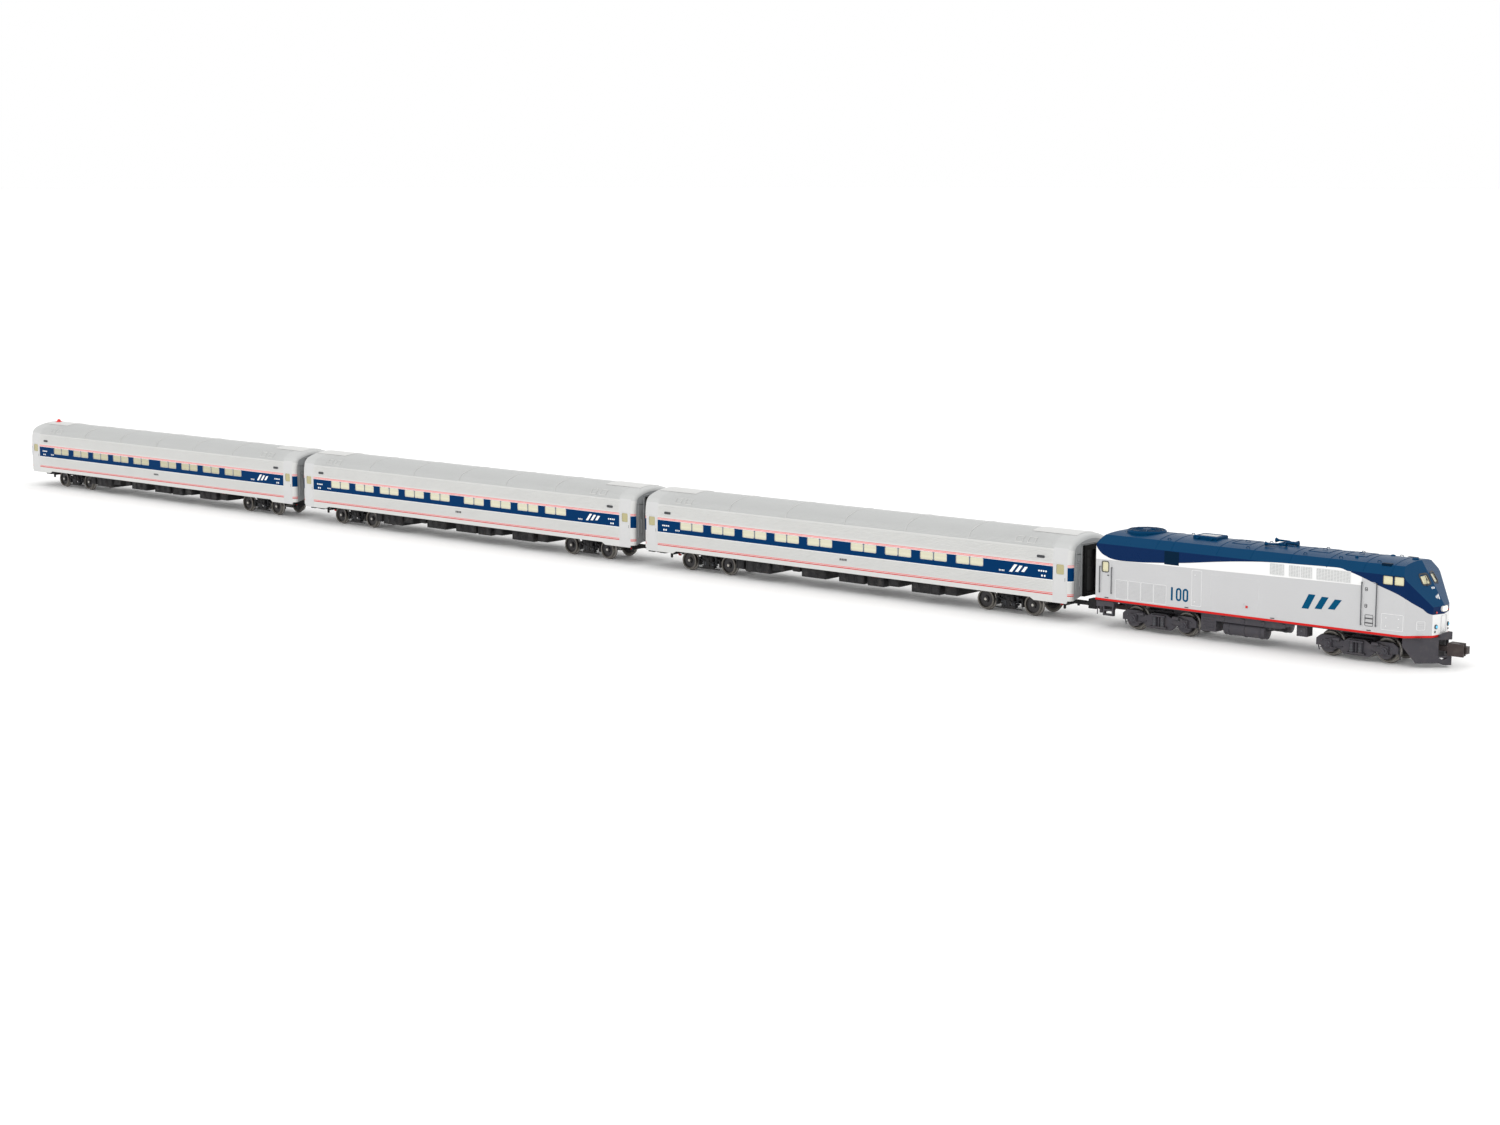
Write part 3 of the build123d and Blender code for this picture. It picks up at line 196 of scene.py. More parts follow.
loco_navy = satin("loco_panel_navy", shade(LOCO_BLUE, 0.3), 0.45, specular=0.05, bump=0.06)
loco_white = satin("loco_trim_white", srgb(236, 236, 236), 0.4, bump=0.06)
loco_grey = satin("loco_trim_grey", srgb(208, 208, 209), 0.4, bump=0.08)
line_dark = satin("line_dark", srgb(48, 50, 54), 0.5)
rod_metal = satin("rod_metal", srgb(96, 98, 102), 0.35, 0.7)
bronze = satin("coupler_bronze", srgb(66, 57, 56), 0.5, 0.5, bump=0.5, dirt=0.15)
spring_steel = satin("spring_steel", srgb(120, 120, 122), 0.32, 0.9)
bright_steel = satin("bright_steel", srgb(190, 188, 184), 0.28, 1.0, mottle=0.15)
brass = satin("gear_brass", srgb(200, 165, 90), 0.3, 1.0, mottle=0.15)
board_green = satin("board_green", srgb(20, 96, 52), 0.4, coat=0.3)
chip_black = satin("chip_black", srgb(14, 14, 16), 0.45, specular=0.2)
paper_black = satin("cone_black", srgb(34, 33, 34), 0.8, bump=0.3)
seat_blue = satin("seat_blue", srgb(70, 84, 118), 0.7, bump=0.3)


def glow(name, colour, strength, rough=0.25, blinds=0.0):
    """Lit glazing: a smooth pane with a faint light of its own, uneven as frosted plastic is."""
    recipe = Recipe(name, coat=0.4)
    recipe.surface(colour, rough, bump=0.03, mottle=0.1)
    if blinds:
        height = recipe.axes()[2]
        band = recipe.range(recipe.math("PINGPONG", height, 1.9), 0.0, 1.9, 1 - blinds, 1.0)
        tint = recipe.node("ShaderNodeMix", data_type="RGBA", blend_type="MULTIPLY")
        tint.inputs[0].default_value = 1.0
        recipe.feed(tint.inputs[6], colour)
        recipe.feed(tint.inputs[7], band)
        recipe.feed(recipe.shader.inputs["Base Color"], tint.outputs[2])
    recipe.shader.inputs["Emission Color"].default_value = colour
    recipe.shader.inputs["Emission Strength"].default_value = strength
    return recipe.material


pane_front = glow("pane_cream_front", srgb(212, 208, 182), 0.04, blinds=0.08)
# The rear coach's panes take a darker, dimmer copy of the same cream: painted shade.
pane_shaded_rear = glow("pane_cream_painted_shade", srgb(186, 181, 150), 0.03, blinds=0.08)
pane_door = glow("pane_door", srgb(176, 168, 122), 0.03)
pane_cab = glow("pane_cab", srgb(214, 208, 172), 0.08)
lens_warm = glow("lens_warm", srgb(255, 240, 190), 2.0)
lens_blue = glow("lens_blue", srgb(96, 190, 226), 0.25)
lens_red = glow("lens_red", srgb(208, 20, 16), 0.25)


def wheel_steel():
    """Blackened disc, worn bright tread and polished hub, by distance from the axle."""
    recipe = Recipe("wheel_steel", 0.85, coordinates="Generated")
    apart = recipe.node("ShaderNodeSeparateXYZ")
    recipe.feed(apart.inputs[0], recipe.where)
    across = recipe.math("SUBTRACT", apart.outputs[0], 0.5)
    up = recipe.math("SUBTRACT", apart.outputs[2], 0.5)
    square = recipe.math("ADD", recipe.math("MULTIPLY", across, across),
                         recipe.math("MULTIPLY", up, up))
    radius = recipe.math("SQRT", square)
    ramp = recipe.node("ShaderNodeValToRGB")
    recipe.feed(ramp.inputs[0], recipe.math("MULTIPLY", radius, 2.0))
    stops = ((0.0, (205, 202, 196)), (0.125, (196, 193, 186)), (0.15, (58, 57, 58)),
             (0.30, (70, 69, 70)), (0.66, (62, 61, 62)), (0.70, (104, 101, 97)),
             (0.86, (118, 114, 108)), (0.885, (176, 172, 166)), (1.0, (92, 90, 88)))
    bands = ramp.color_ramp.elements
    bands[0].position, bands[0].color = stops[0][0], srgb(*stops[0][1])
    bands[1].position, bands[1].color = stops[-1][0], srgb(*stops[-1][1])
    for place, colour in stops[1:-1]:
        bands.new(place).color = srgb(*colour)
    recipe.where = recipe.node("ShaderNodeTexCoord").outputs["Object"]
    return recipe.surface(ramp.outputs[0], 0.38, bump=0.2, mottle=0.2, dirt=0.1)


def loco_livery():
    """Blue roof that sweeps down at both ends, a white sash under it, grey sides, red sill. The blue is
    painted darker on upright faces: painted shade.
    """
    recipe = Recipe("loco_livery", specular=0.08)
    x, y, z = recipe.axes()
    along = recipe.math("SUBTRACT", x, LOCO_X)
    rail = recipe.math("SUBTRACT", z, RAIL)
    edge = ((-1, 78.7), (3.1, 70.5), (10.4, 65.9), (21, 63.4), (40, 63.4), (63, 64.9), (88, 67.1),
            (128, 72.2), (150, 74.6), (180, 76.9), (207, 77.6), (234, 78.2), (244.5, 78.2),
            (251, 77), (264, 73.4), (279, 68.1), (304.6, 59.2), (311, 54.4), (317.5, 49.4),
            (323.5, 44.6), (328, 44.0))
    curve = recipe.node("ShaderNodeFloatCurve")
    line = curve.mapping.curves[0]
    start, span, base, rise = -1.0, 329.0, 40.0, 50.0
    first, last = line.points[0], line.points[1]
    first.location = (0.0, (edge[0][1] - base) / rise)
    last.location = (1.0, (edge[-1][1] - base) / rise)
    for place, height in edge[1:-1]:
        line.points.new((place - start) / span, (height - base) / rise)
    curve.mapping.update()
    recipe.feed(curve.inputs["Value"], recipe.range(along, start, start + span, 0.0, 1.0))
    bound = recipe.range(curve.outputs[0], 0.0, 1.0, base, base + rise)

    def above(value, limit, sharp=8.0):
        return recipe.math("MULTIPLY", recipe.math("SUBTRACT", value, limit), sharp, clamp=True)

    sash_edge = recipe.range(along, 0.0, 256.0, 62.6, 65.7)
    sash = recipe.math("MULTIPLY", above(rail, sash_edge), above(266.0, along), clamp=True)
    nose = above(along, 323.7)
    pale = recipe.math("MAXIMUM", sash, nose)
    colour = recipe.mix(pale, srgb(196, 196, 197), srgb(240, 240, 239))
    # Painted shade: the blue turns darker navy where the face stands upright and keeps its full colour
    # where the face looks up.
    facing = recipe.node("ShaderNodeSeparateXYZ")
    recipe.feed(facing.inputs[0], recipe.node("ShaderNodeNewGeometry").outputs["Normal"])
    painted_shade_share = recipe.range(facing.outputs[2], 0.1, 0.5, 0.0, 1.0)
    blue = recipe.mix(painted_shade_share, srgb(0, 36, 80), LOCO_BLUE)
    colour = recipe.mix(above(rail, bound), colour, blue)
    colour = recipe.mix(above(27.0, rail), colour, RED)
    return recipe.surface(colour, 0.3, bump=0.06, mottle=0.04)


livery = loco_livery()
wheels = wheel_steel()


def paint(node, *materials):
    """Puts materials on a carried-over CAD node's slots."""
    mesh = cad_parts[node].data
    mesh.materials.clear()
    for material in materials:
        mesh.materials.append(material)


# ---------------------------------------------------------------- shapes
class Shape:
    """Collects closed solids, in millimetres, and turns them into pieces in metres."""

    def __init__(self, material_index=0):
        self.bm = bmesh.new()
        self.index = material_index

    def loops(self, rings, closed_ends=True):
        """Skins a list of equally long rings of points."""
        rows = [[self.bm.verts.new(p) for p in ring] for ring in rings]
        count = len(rows[0])
        for one, two in zip(rows, rows[1:]):
            for i in range(count):
                j = (i + 1) % count
                self.bm.faces.new((one[i], one[j], two[j], two[i])).material_index = self.index
        if closed_ends:
            self.bm.faces.new(rows[0][::-1]).material_index = self.index
            self.bm.faces.new(rows[-1]).material_index = self.index

    def box(self, x, y, z, edge=0.15):
        """A block with chamfered upright edges and chamfered top and bottom."""
        (x0, x1), (y0, y1), (z0, z1) = (sorted(pair) for pair in (x, y, z))
        e = min(edge, (x1 - x0) / 3, (y1 - y0) / 3, (z1 - z0) / 3)

        def ring(inset, height):
            a, b, c, d = x0 + inset, x1 - inset, y0 + inset, y1 - inset
            return [(a + e, c, height), (b - e, c, height), (b, c + e, height), (b, d - e, height),
                    (b - e, d, height), (a + e, d, height), (a, d - e, height), (a, c + e, height)]

        self.loops([ring(e, z0), ring(0, z0 + e), ring(0, z1 - e), ring(e, z1)])

    def lathe(self, profile, origin, axis=(0, 0, 1), sides=24):
        """Turns (along, radius) points about the axis through origin."""
        axis = Vector(axis).normalized()
        u = axis.orthogonal().normalized()
        v = axis.cross(u)
        origin = Vector(origin)
        rings = []
        for along, radius in profile:
            centre = origin + axis * along
            rings.append([centre + (u * cos(tau * i / sides) + v * sin(tau * i / sides)) * radius
                          for i in range(sides)])
        self.loops(rings)

    def rod(self, start, end, radius, sides=12, edge=0.12):
        start, end = Vector(start), Vector(end)
        length = (end - start).length
        e = min(edge, radius / 3, length / 3)
        self.lathe([(0, radius - e), (e, radius), (length - e, radius), (length, radius - e)],
                   start, end - start, sides)

    def tube(self, points, radius, sides=8):
        """A round bar along a path of points."""
        points = [Vector(p) for p in points]
        rings = []
        side = None
        for i, point in enumerate(points):
            ahead = (points[min(i + 1, len(points) - 1)] - points[max(i - 1, 0)]).normalized()
            if side is None:
                side = ahead.orthogonal().normalized()
            side = (side - ahead * side.dot(ahead)).normalized()
            other = ahead.cross(side)
            rings.append([point + (side * cos(tau * k / sides) + other * sin(tau * k / sides))
                          * radius for k in range(sides)])
        self.loops(rings)

    def coil(self, x, y, z, radius, turns, wire, steps=12):
        """An upright coil spring between two heights."""
        low, high = z
        count = int(turns * steps)
        self.tube([(x + radius * cos(tau * i / steps), y + radius * sin(tau * i / steps),
                    low + (high - low) * i / count) for i in range(count + 1)], wire, 6)

    def plate(self, outline, origin, right, up, thick, edge=0.1):
        """A flat plate with the given outline, raised from origin towards right x up."""
        origin, right, up = Vector(origin), Vector(right).normalized(), Vector(up).normalized()
        out = right.cross(up).normalized()
        centre = Vector((sum(p[0] for p in outline) / len(outline),
                         sum(p[1] for p in outline) / len(outline)))
        size = max((Vector(p) - centre).length for p in outline)

        def ring(shrink, height):
            points = [centre + (Vector(p) - centre) * (1 - shrink / size) for p in outline]
            return [origin + right * p.x + up * p.y + out * height for p in points]

        e = min(edge, thick / 2)
        self.loops([ring(0, -0.3), ring(0, thick - e), ring(e, thick)])

    def frame_plate(self, width, height, bar, origin, right, up, thick, corner=0.8, steps=4):
        """A flat frame with rounded corners around an opening of width x height."""
        origin, right, up = Vector(origin), Vector(right).normalized(), Vector(up).normalized()
        out = right.cross(up).normalized()

        def ring(grow, lift):
            points = rounded(width + 2 * grow, height + 2 * grow, corner + grow, steps)
            return [origin + right * u + up * v + out * lift for u, v in points]

        rows = [ring(bar, -0.3), ring(bar, thick - 0.1), ring(bar - 0.1, thick),
                ring(0.1, thick), ring(0, thick - 0.1), ring(0, -0.3)]
        self.loops(rows + [rows[0]], closed_ends=False)

    def mesh(self, name, *materials, angle=0.6):
        bmesh.ops.remove_doubles(self.bm, verts=self.bm.verts, dist=0.001)
        bmesh.ops.recalc_face_normals(self.bm, faces=self.bm.faces)
        for edge in self.bm.edges:
            edge.smooth = len(edge.link_faces) == 2 and edge.calc_face_angle(0) < angle
        for face in self.bm.faces:
            face.smooth = True
        bmesh.ops.scale(self.bm, vec=(MM, MM, MM), verts=self.bm.verts)
        mesh = bpy.data.meshes.new(name)
        self.bm.to_mesh(mesh)
        self.bm.free()
        for material in materials:
            mesh.materials.append(material)
        return mesh


def rounded(width, height, corner, steps=4):
    """Outline of a rectangle with rounded corners, about its middle."""
    corner = min(corner, width / 2, height / 2)
    points = []
    for quarter, (sx, sy) in enumerate(((1, 1), (-1, 1), (-1, -1), (1, -1))):
        cx, cy = sx * (width / 2 - corner), sy * (height / 2 - corner)
        for i in range(steps + 1):
            turn = pi / 2 * (quarter + i / steps)
            points.append((cx + corner * cos(turn), cy + corner * sin(turn)))
    return points


def piece(name, mesh, body, x=0.0, y=0.0, turn=0.0):
    """Places a mesh, its origin x millimetres along the train, on a body."""
    made = bpy.data.objects.new(name, mesh)
    bpy.context.scene.collection.objects.link(made)
    made.location = (x * MM, y * MM, 0)
    made.rotation_euler = (0, 0, turn)
    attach(made, body)
    return made


def place_all(prefix, body, x, *rows):
    """Turns each (name, shape, material, slot) into a piece on the same body."""
    for name, shape, material, slot in rows:
        piece(prefix + name, shape.mesh(prefix + name, material), body, x)


# ---------------------------------------------------------------- coach body
HALF_WIDTH = 33.22
EAVES = RAIL + 55.0
BOTTOM = RAIL + 19.9
HALF_LENGTH = 267.5
END_ROUND = 5.0
LEAN = (60.0, radians(12))
SHOULDER = (11.0, radians(55))
FLUTE = 0.36
SKIRT_X = (222.0, 226.5, 262.55)
SKIRT_DROP = 2.5
WINDOWS = tuple(start + 42.5 * i for start, count in ((-199.8, 5), (25.3, 4))
                for i in range(count))
DOORS = (-255.5, 255.5)
DOOR_HALF = 8.0


def wall_point(s):
    """Point and outward normal at girth s: height up the side, then arc length to the crown."""
    if s <= EAVES:
        return HALF_WIDTH, s, 1.0, 0.0
    s -= EAVES
    radius, turn = LEAN
    y, z = HALF_WIDTH - radius, EAVES
    if s <= radius * turn:
        a = s / radius
        return y + radius * cos(a), z + radius * sin(a), cos(a), sin(a)
    s -= radius * turn
    y, z = y + radius * cos(turn), z + radius * sin(turn)
    radius, more = SHOULDER
    y, z = y - radius * cos(turn), z - radius * sin(turn)
    a = turn + s / radius
    if s <= radius * more:
        return y + radius * cos(a), z + radius * sin(a), cos(a), sin(a)
    s -= radius * more
    a = turn + more
    y, z = y + radius * cos(a), z + radius * sin(a)
    crown = y / cos(a)
    z -= crown * sin(a)
    a += s / crown
    return crown * cos(a), z + crown * sin(a), cos(a), sin(a)


GIRTH = EAVES + LEAN[0] * LEAN[1] + SHOULDER[0] * SHOULDER[1]
CROWN = wall_point(GIRTH)[0] / cos(LEAN[1] + SHOULDER[1])
TOP_GIRTH = GIRTH + CROWN * (pi / 2 - LEAN[1] - SHOULDER[1])

# Strips up the side: (girth of the lower edge, material, fluted). Materials: 0 silver, 1 roof,
# 2 blue, 3 white, 4 red, 5 inside, 6 door, 7 end, 8 pink.
STRIPS = [
    (BOTTOM, 0, False), (25.6, 4, False), (26.5, 0, False), (27.0, 8, False), (27.8, 0, False),
    (28.4, 0, True), (39.2, 3, False), (39.7, 2, False), (44.7, 2, False), (45.6, 2, False),
    (46.5, 2, False), (51.3, 2, False), (52.1, 2, False), (52.4, 3, False), (52.8, 8, False),
    (53.6, 3, False), (53.9, 8, False), (54.7, 0, False), (54.9, 0, False), (56.2, 0, True),
    (67.0, 0, False), (68.9, 1, True),
    (104.0, 1, False), (TOP_GIRTH, 1, False),
]
FLUTE_PITCH = 1.35


def girth_rows():
    """Every row of the skin: (girth, groove depth there, material of the strip above)."""
    rows = []
    for (low, material, fluted), (high, _, _) in zip(STRIPS, STRIPS[1:]):
        rows.append((low, 0.0, material))
        if not fluted:
            continue
        count = round((high - low) / FLUTE_PITCH)
        pitch = (high - low) / count
        for i in range(count):
            base = low + i * pitch
            for share, depth in ((0.16, 0.0), (0.34, 1.0), (0.66, 1.0), (0.84, 0.0)):
                rows.append((base + share * pitch, depth, material))
    rows.append((TOP_GIRTH, 0.0, 1))
    return rows


def station_list():
    """Places along the coach where the skin has a section: (x, end inset)."""
    cuts = {-150.0, -90.0, 0.0, 90.0, 150.0}
    for end in (-1, 1):
        cuts.update(end * x for x in (*SKIRT_X[:2], 245.0, 262.45))
    for centre in WINDOWS:
        for shift in (-8.1, 8.1):
            for edge in (-7.5, -6.7, 6.7, 7.5):
                cuts.add(centre + shift + edge)
    for centre in DOORS:
        for edge in (-8.0, -4.2, -3.4, 3.4, 4.2, 8.0):
            cuts.add(centre + edge)
    for i in range(7):
        place = HALF_LENGTH - END_ROUND * (1 - sin(pi / 2 * i / 6))
        cuts.update((-place, place))
    return [(x, end_inset(x)) for x in sorted(cuts)]


def end_inset(x):
    """How far the rounded end has drawn the skin inwards at x."""
    past = max(0.0, abs(x) - HALF_LENGTH + END_ROUND)
    return END_ROUND - sqrt(max(0.0, END_ROUND ** 2 - past ** 2))


def skirt_drop(x):
    """How far the bottom edge reaches below its usual height at x."""
    start, full, stop = SKIRT_X
    return SKIRT_DROP * min(1.0, max(0.0, (abs(x) - start) / (full - start))) * (abs(x) < stop)


def in_door(x):
    return any(abs(x - centre) < DOOR_HALF + 0.01 for centre in DOORS)


def window_at(x, s):
    """'hole' or 'corner' where a cell of the side lies in a window, else None."""
    for centre in WINDOWS:
        for shift in (-8.1, 8.1):
            if abs(x - centre - shift) < 7.5 and 44.7 < s < 52.1:
                edge_x = abs(x - centre - shift) > 6.7
                edge_s = not 45.5 < s < 51.3
                return "corner" if edge_x and edge_s else "hole"
    for centre in DOORS:
        if abs(x - centre) < 4.2 and 45.6 < s < 54.9:
            edge_x = abs(x - centre) > 3.4
            edge_s = s < 46.5 or s > 54.2
            return "corner" if edge_x and edge_s else "hole"
    return None


def coach_skin():
    """Fluted outer skin with its windows and livery, as one sheet given a thickness."""
    half = girth_rows()
    # A full section runs from one bottom edge over the crown to the other.
    rows = [(-1, *row) for row in half[:-1]] + [(1, *row) for row in reversed(half)]
    stations = station_list()
    bm = bmesh.new()
    grid = []
    for x, inset in stations:
        smooth = in_door(x) or inset > 0
        ring = []
        for side, s, depth, _ in rows:
            y, z, ny, nz = wall_point(s - skirt_drop(x) if s == BOTTOM else s)
            keep = 0.0 if s <= EAVES else nz
            sunk = inset + (0 if smooth else depth * FLUTE)
            ring.append(bm.verts.new((x, side * (y - ny * sunk), z - keep * sunk)))
        grid.append(ring)
    count = len(rows)
    for i in range(len(stations) - 1):
        x = (stations[i][0] + stations[i + 1][0]) / 2
        for j in range(count - 1):
            s = (rows[j][1] + rows[j + 1][1]) / 2
            low = rows[j] if rows[j][1] < rows[j + 1][1] else rows[j + 1]
            material = low[3]
            if in_door(x) and s < 70:
                material = 6
            corners = [grid[i][j], grid[i + 1][j], grid[i + 1][j + 1], grid[i][j + 1]]
            here = window_at(x, s)
            if here == "hole":
                continue
            if here == "corner":
                middle_x, middle_s = nearest_window(x)
                far = max(corners, key=lambda v: abs(v.co.x - middle_x) + abs(v.co.z - middle_s))
                k = corners.index(far)
                corners = [corners[k - 1], corners[k], corners[(k + 1) % 4]]
            bm.faces.new(corners).material_index = material
    end_walls(bm, grid, rows)
    return bm


def nearest_window(x):
    """Middle of the pane or door window nearest to x, as (x, height)."""
    panes = [(centre + shift, 48.4) for centre in WINDOWS for shift in (-8.1, 8.1)]
    panes += [(centre, 50.3) for centre in DOORS]
    return min(panes, key=lambda pane: abs(pane[0] - x))


GANGWAY_HALF = 10.0
GANGWAY = (RAIL + 24.6, RAIL + 66.0)


def end_walls(bm, grid, rows):
    """Flat end walls between the rounded end of the skin and the gangway opening."""
    low, high = GANGWAY
    for ring in (grid[0], grid[-1]):
        x = ring[0].co.x
        inner = []
        for vert in ring:
            y, z = vert.co.y, vert.co.z
            if z <= high - 3:
                spot = (GANGWAY_HALF if y > 0 else -GANGWAY_HALF, max(z, low))
            else:
                angle = atan2(y, z - high + 6)
                reach = min(GANGWAY_HALF / max(abs(sin(angle)), 1e-6), 6 / max(cos(angle), 1e-6))
                spot = (reach * sin(angle), high - 6 + reach * cos(angle))
            inner.append(bm.verts.new((x, *spot)))
        for i in range(len(ring) - 1):
            bm.faces.new((ring[i], ring[i + 1], inner[i + 1], inner[i])).material_index = 7


def coach_shell_mesh():
    bm = coach_skin()
    bmesh.ops.remove_doubles(bm, verts=bm.verts, dist=0.002)
    bmesh.ops.recalc_face_normals(bm, faces=bm.faces)
    for face in bm.faces:
        face.smooth = True
    for edge in bm.edges:
        edge.smooth = edge.calc_face_angle(0) < 0.45 if len(edge.link_faces) == 2 else False
    bmesh.ops.scale(bm, vec=(MM, MM, MM), verts=bm.verts)
    mesh = bpy.data.meshes.new("coach_shell_mesh")
    bm.to_mesh(mesh)
    bm.free()
    for material in (coach_silver, coach_roof, band_blue, line_white, stripe_red, coach_inside,
                     coach_door, coach_grey, stripe_pink):
        mesh.materials.append(material)
    return mesh


def thicken(made, thickness):
    wall = made.modifiers.new("wall", "SOLIDIFY")
    wall.thickness = thickness * MM
    wall.offset = -1
    wall.material_offset = 0


# ---------------------------------------------------------------- locomotive details
FACE = 31.75
LOCO_ROOF = RAIL + 87.7
CREASE = RAIL + 77.0
ROOF_EDGE = (24.0, RAIL + 84.6)
NOSE_BREAK = RAIL + 51.0
NOSE_X = 327.0
SLOPE = (NOSE_X - 304.5) / (LOCO_ROOF - NOSE_BREAK)
NOSE_HALF = 15.0
SWEEP = 0.2
TAPER_X = 306.5
SIDES = (-1, 1)


def side_face(side, x, rail):
    """Origin, right and up on the flat side, at x and a height above the rail."""
    return (x, side * FACE, RAIL + rail), (-side, 0, 0), (0, 0, 1)


def taper_face(side, x, rail):
    """The same on the tapered side of the nose."""
    run, rise = NOSE_X - SWEEP * NOSE_HALF - TAPER_X, NOSE_HALF - FACE
    y = FACE + (x - TAPER_X) * rise / run
    return (x, side * y, RAIL + rail), (-side * run, -rise, 0), (0, 0, 1)


def slope_face(y, rail):
    """The same on the leaning front, which also sweeps back from the middle."""
    z = RAIL + rail
    right = Vector((-SWEEP if y > 0 else SWEEP, 1, 0)).normalized()
    up = Vector((-SLOPE, 0, 1)).normalized()
    up = (up - right * up.dot(right)).normalized()
    return (NOSE_X - SLOPE * (z - NOSE_BREAK) - SWEEP * abs(y), y, z), right, up


def front_face(y, rail):
    """The same on the upright front under the break."""
    right = Vector((-SWEEP if y > 0 else SWEEP, 1, 0)).normalized()
    return (NOSE_X - SWEEP * abs(y), y, RAIL + rail), right, (0, 0, 1)


def outlined(shape, side, x, rail, bar=0.3, thick=0.18, corner=0.4):
    """A raised outline on the side between two x values and two heights."""
    place = side_face(side, sum(x) / 2, sum(rail) / 2)
    shape.frame_plate(x[1] - x[0], rail[1] - rail[0], bar, *place, thick, corner, 2)


def slats(shape, side, x, rail, count, upright=False, width=0.4, proud=0.28):
    """Parallel bars inside a grille."""
    y = (side * (FACE - 0.2), side * (FACE + proud))
    for i in range(count):
        share = (i + 0.5) / count
        if upright:
            place = x[0] + (x[1] - x[0]) * share
            shape.box((place - width / 2, place + width / 2), y, (RAIL + rail[0], RAIL + rail[1]))
        else:
            place = RAIL + rail[0] + (rail[1] - rail[0]) * share
            shape.box(x, y, (place - width / 2, place + width / 2))


def roof_height(y):
    """Height of the crowned roof or of the sloping facet beside it."""
    edge_y, edge_z = ROOF_EDGE
    if abs(y) > edge_y:
        return edge_z - (abs(y) - edge_y) * (edge_z - CREASE) / (FACE - edge_y)
    sag = LOCO_ROOF - edge_z
    radius = (edge_y ** 2 + sag ** 2) / (2 * sag)
    return LOCO_ROOF - radius + sqrt(radius ** 2 - y ** 2)


def roof_seam(shape, x, half=31.0, width=0.5, proud=0.22):
    """A low strip over the roof from side to side."""
    rings = []
    for i in range(33):
        y = half * (i / 16 - 1)
        z = roof_height(y)
        rings.append([(x - width, y, z - 0.3), (x - width * 0.6, y, z + proud),
                      (x + width * 0.6, y, z + proud), (x + width, y, z - 0.3)])
    shape.loops(rings)


def dome(shape, x, y, z, radius, height, sides=16):
    """A round-topped boss."""
    steps = 5
    profile = [(-0.4, radius)]
    for i in range(steps):
        a = pi / 2 * i / steps
        profile.append((height * sin(a), max(radius * cos(a), 0.05)))
    profile.append((height, 0.04))
    shape.lathe(profile, (x, y, z), (0, 0, 1), sides)


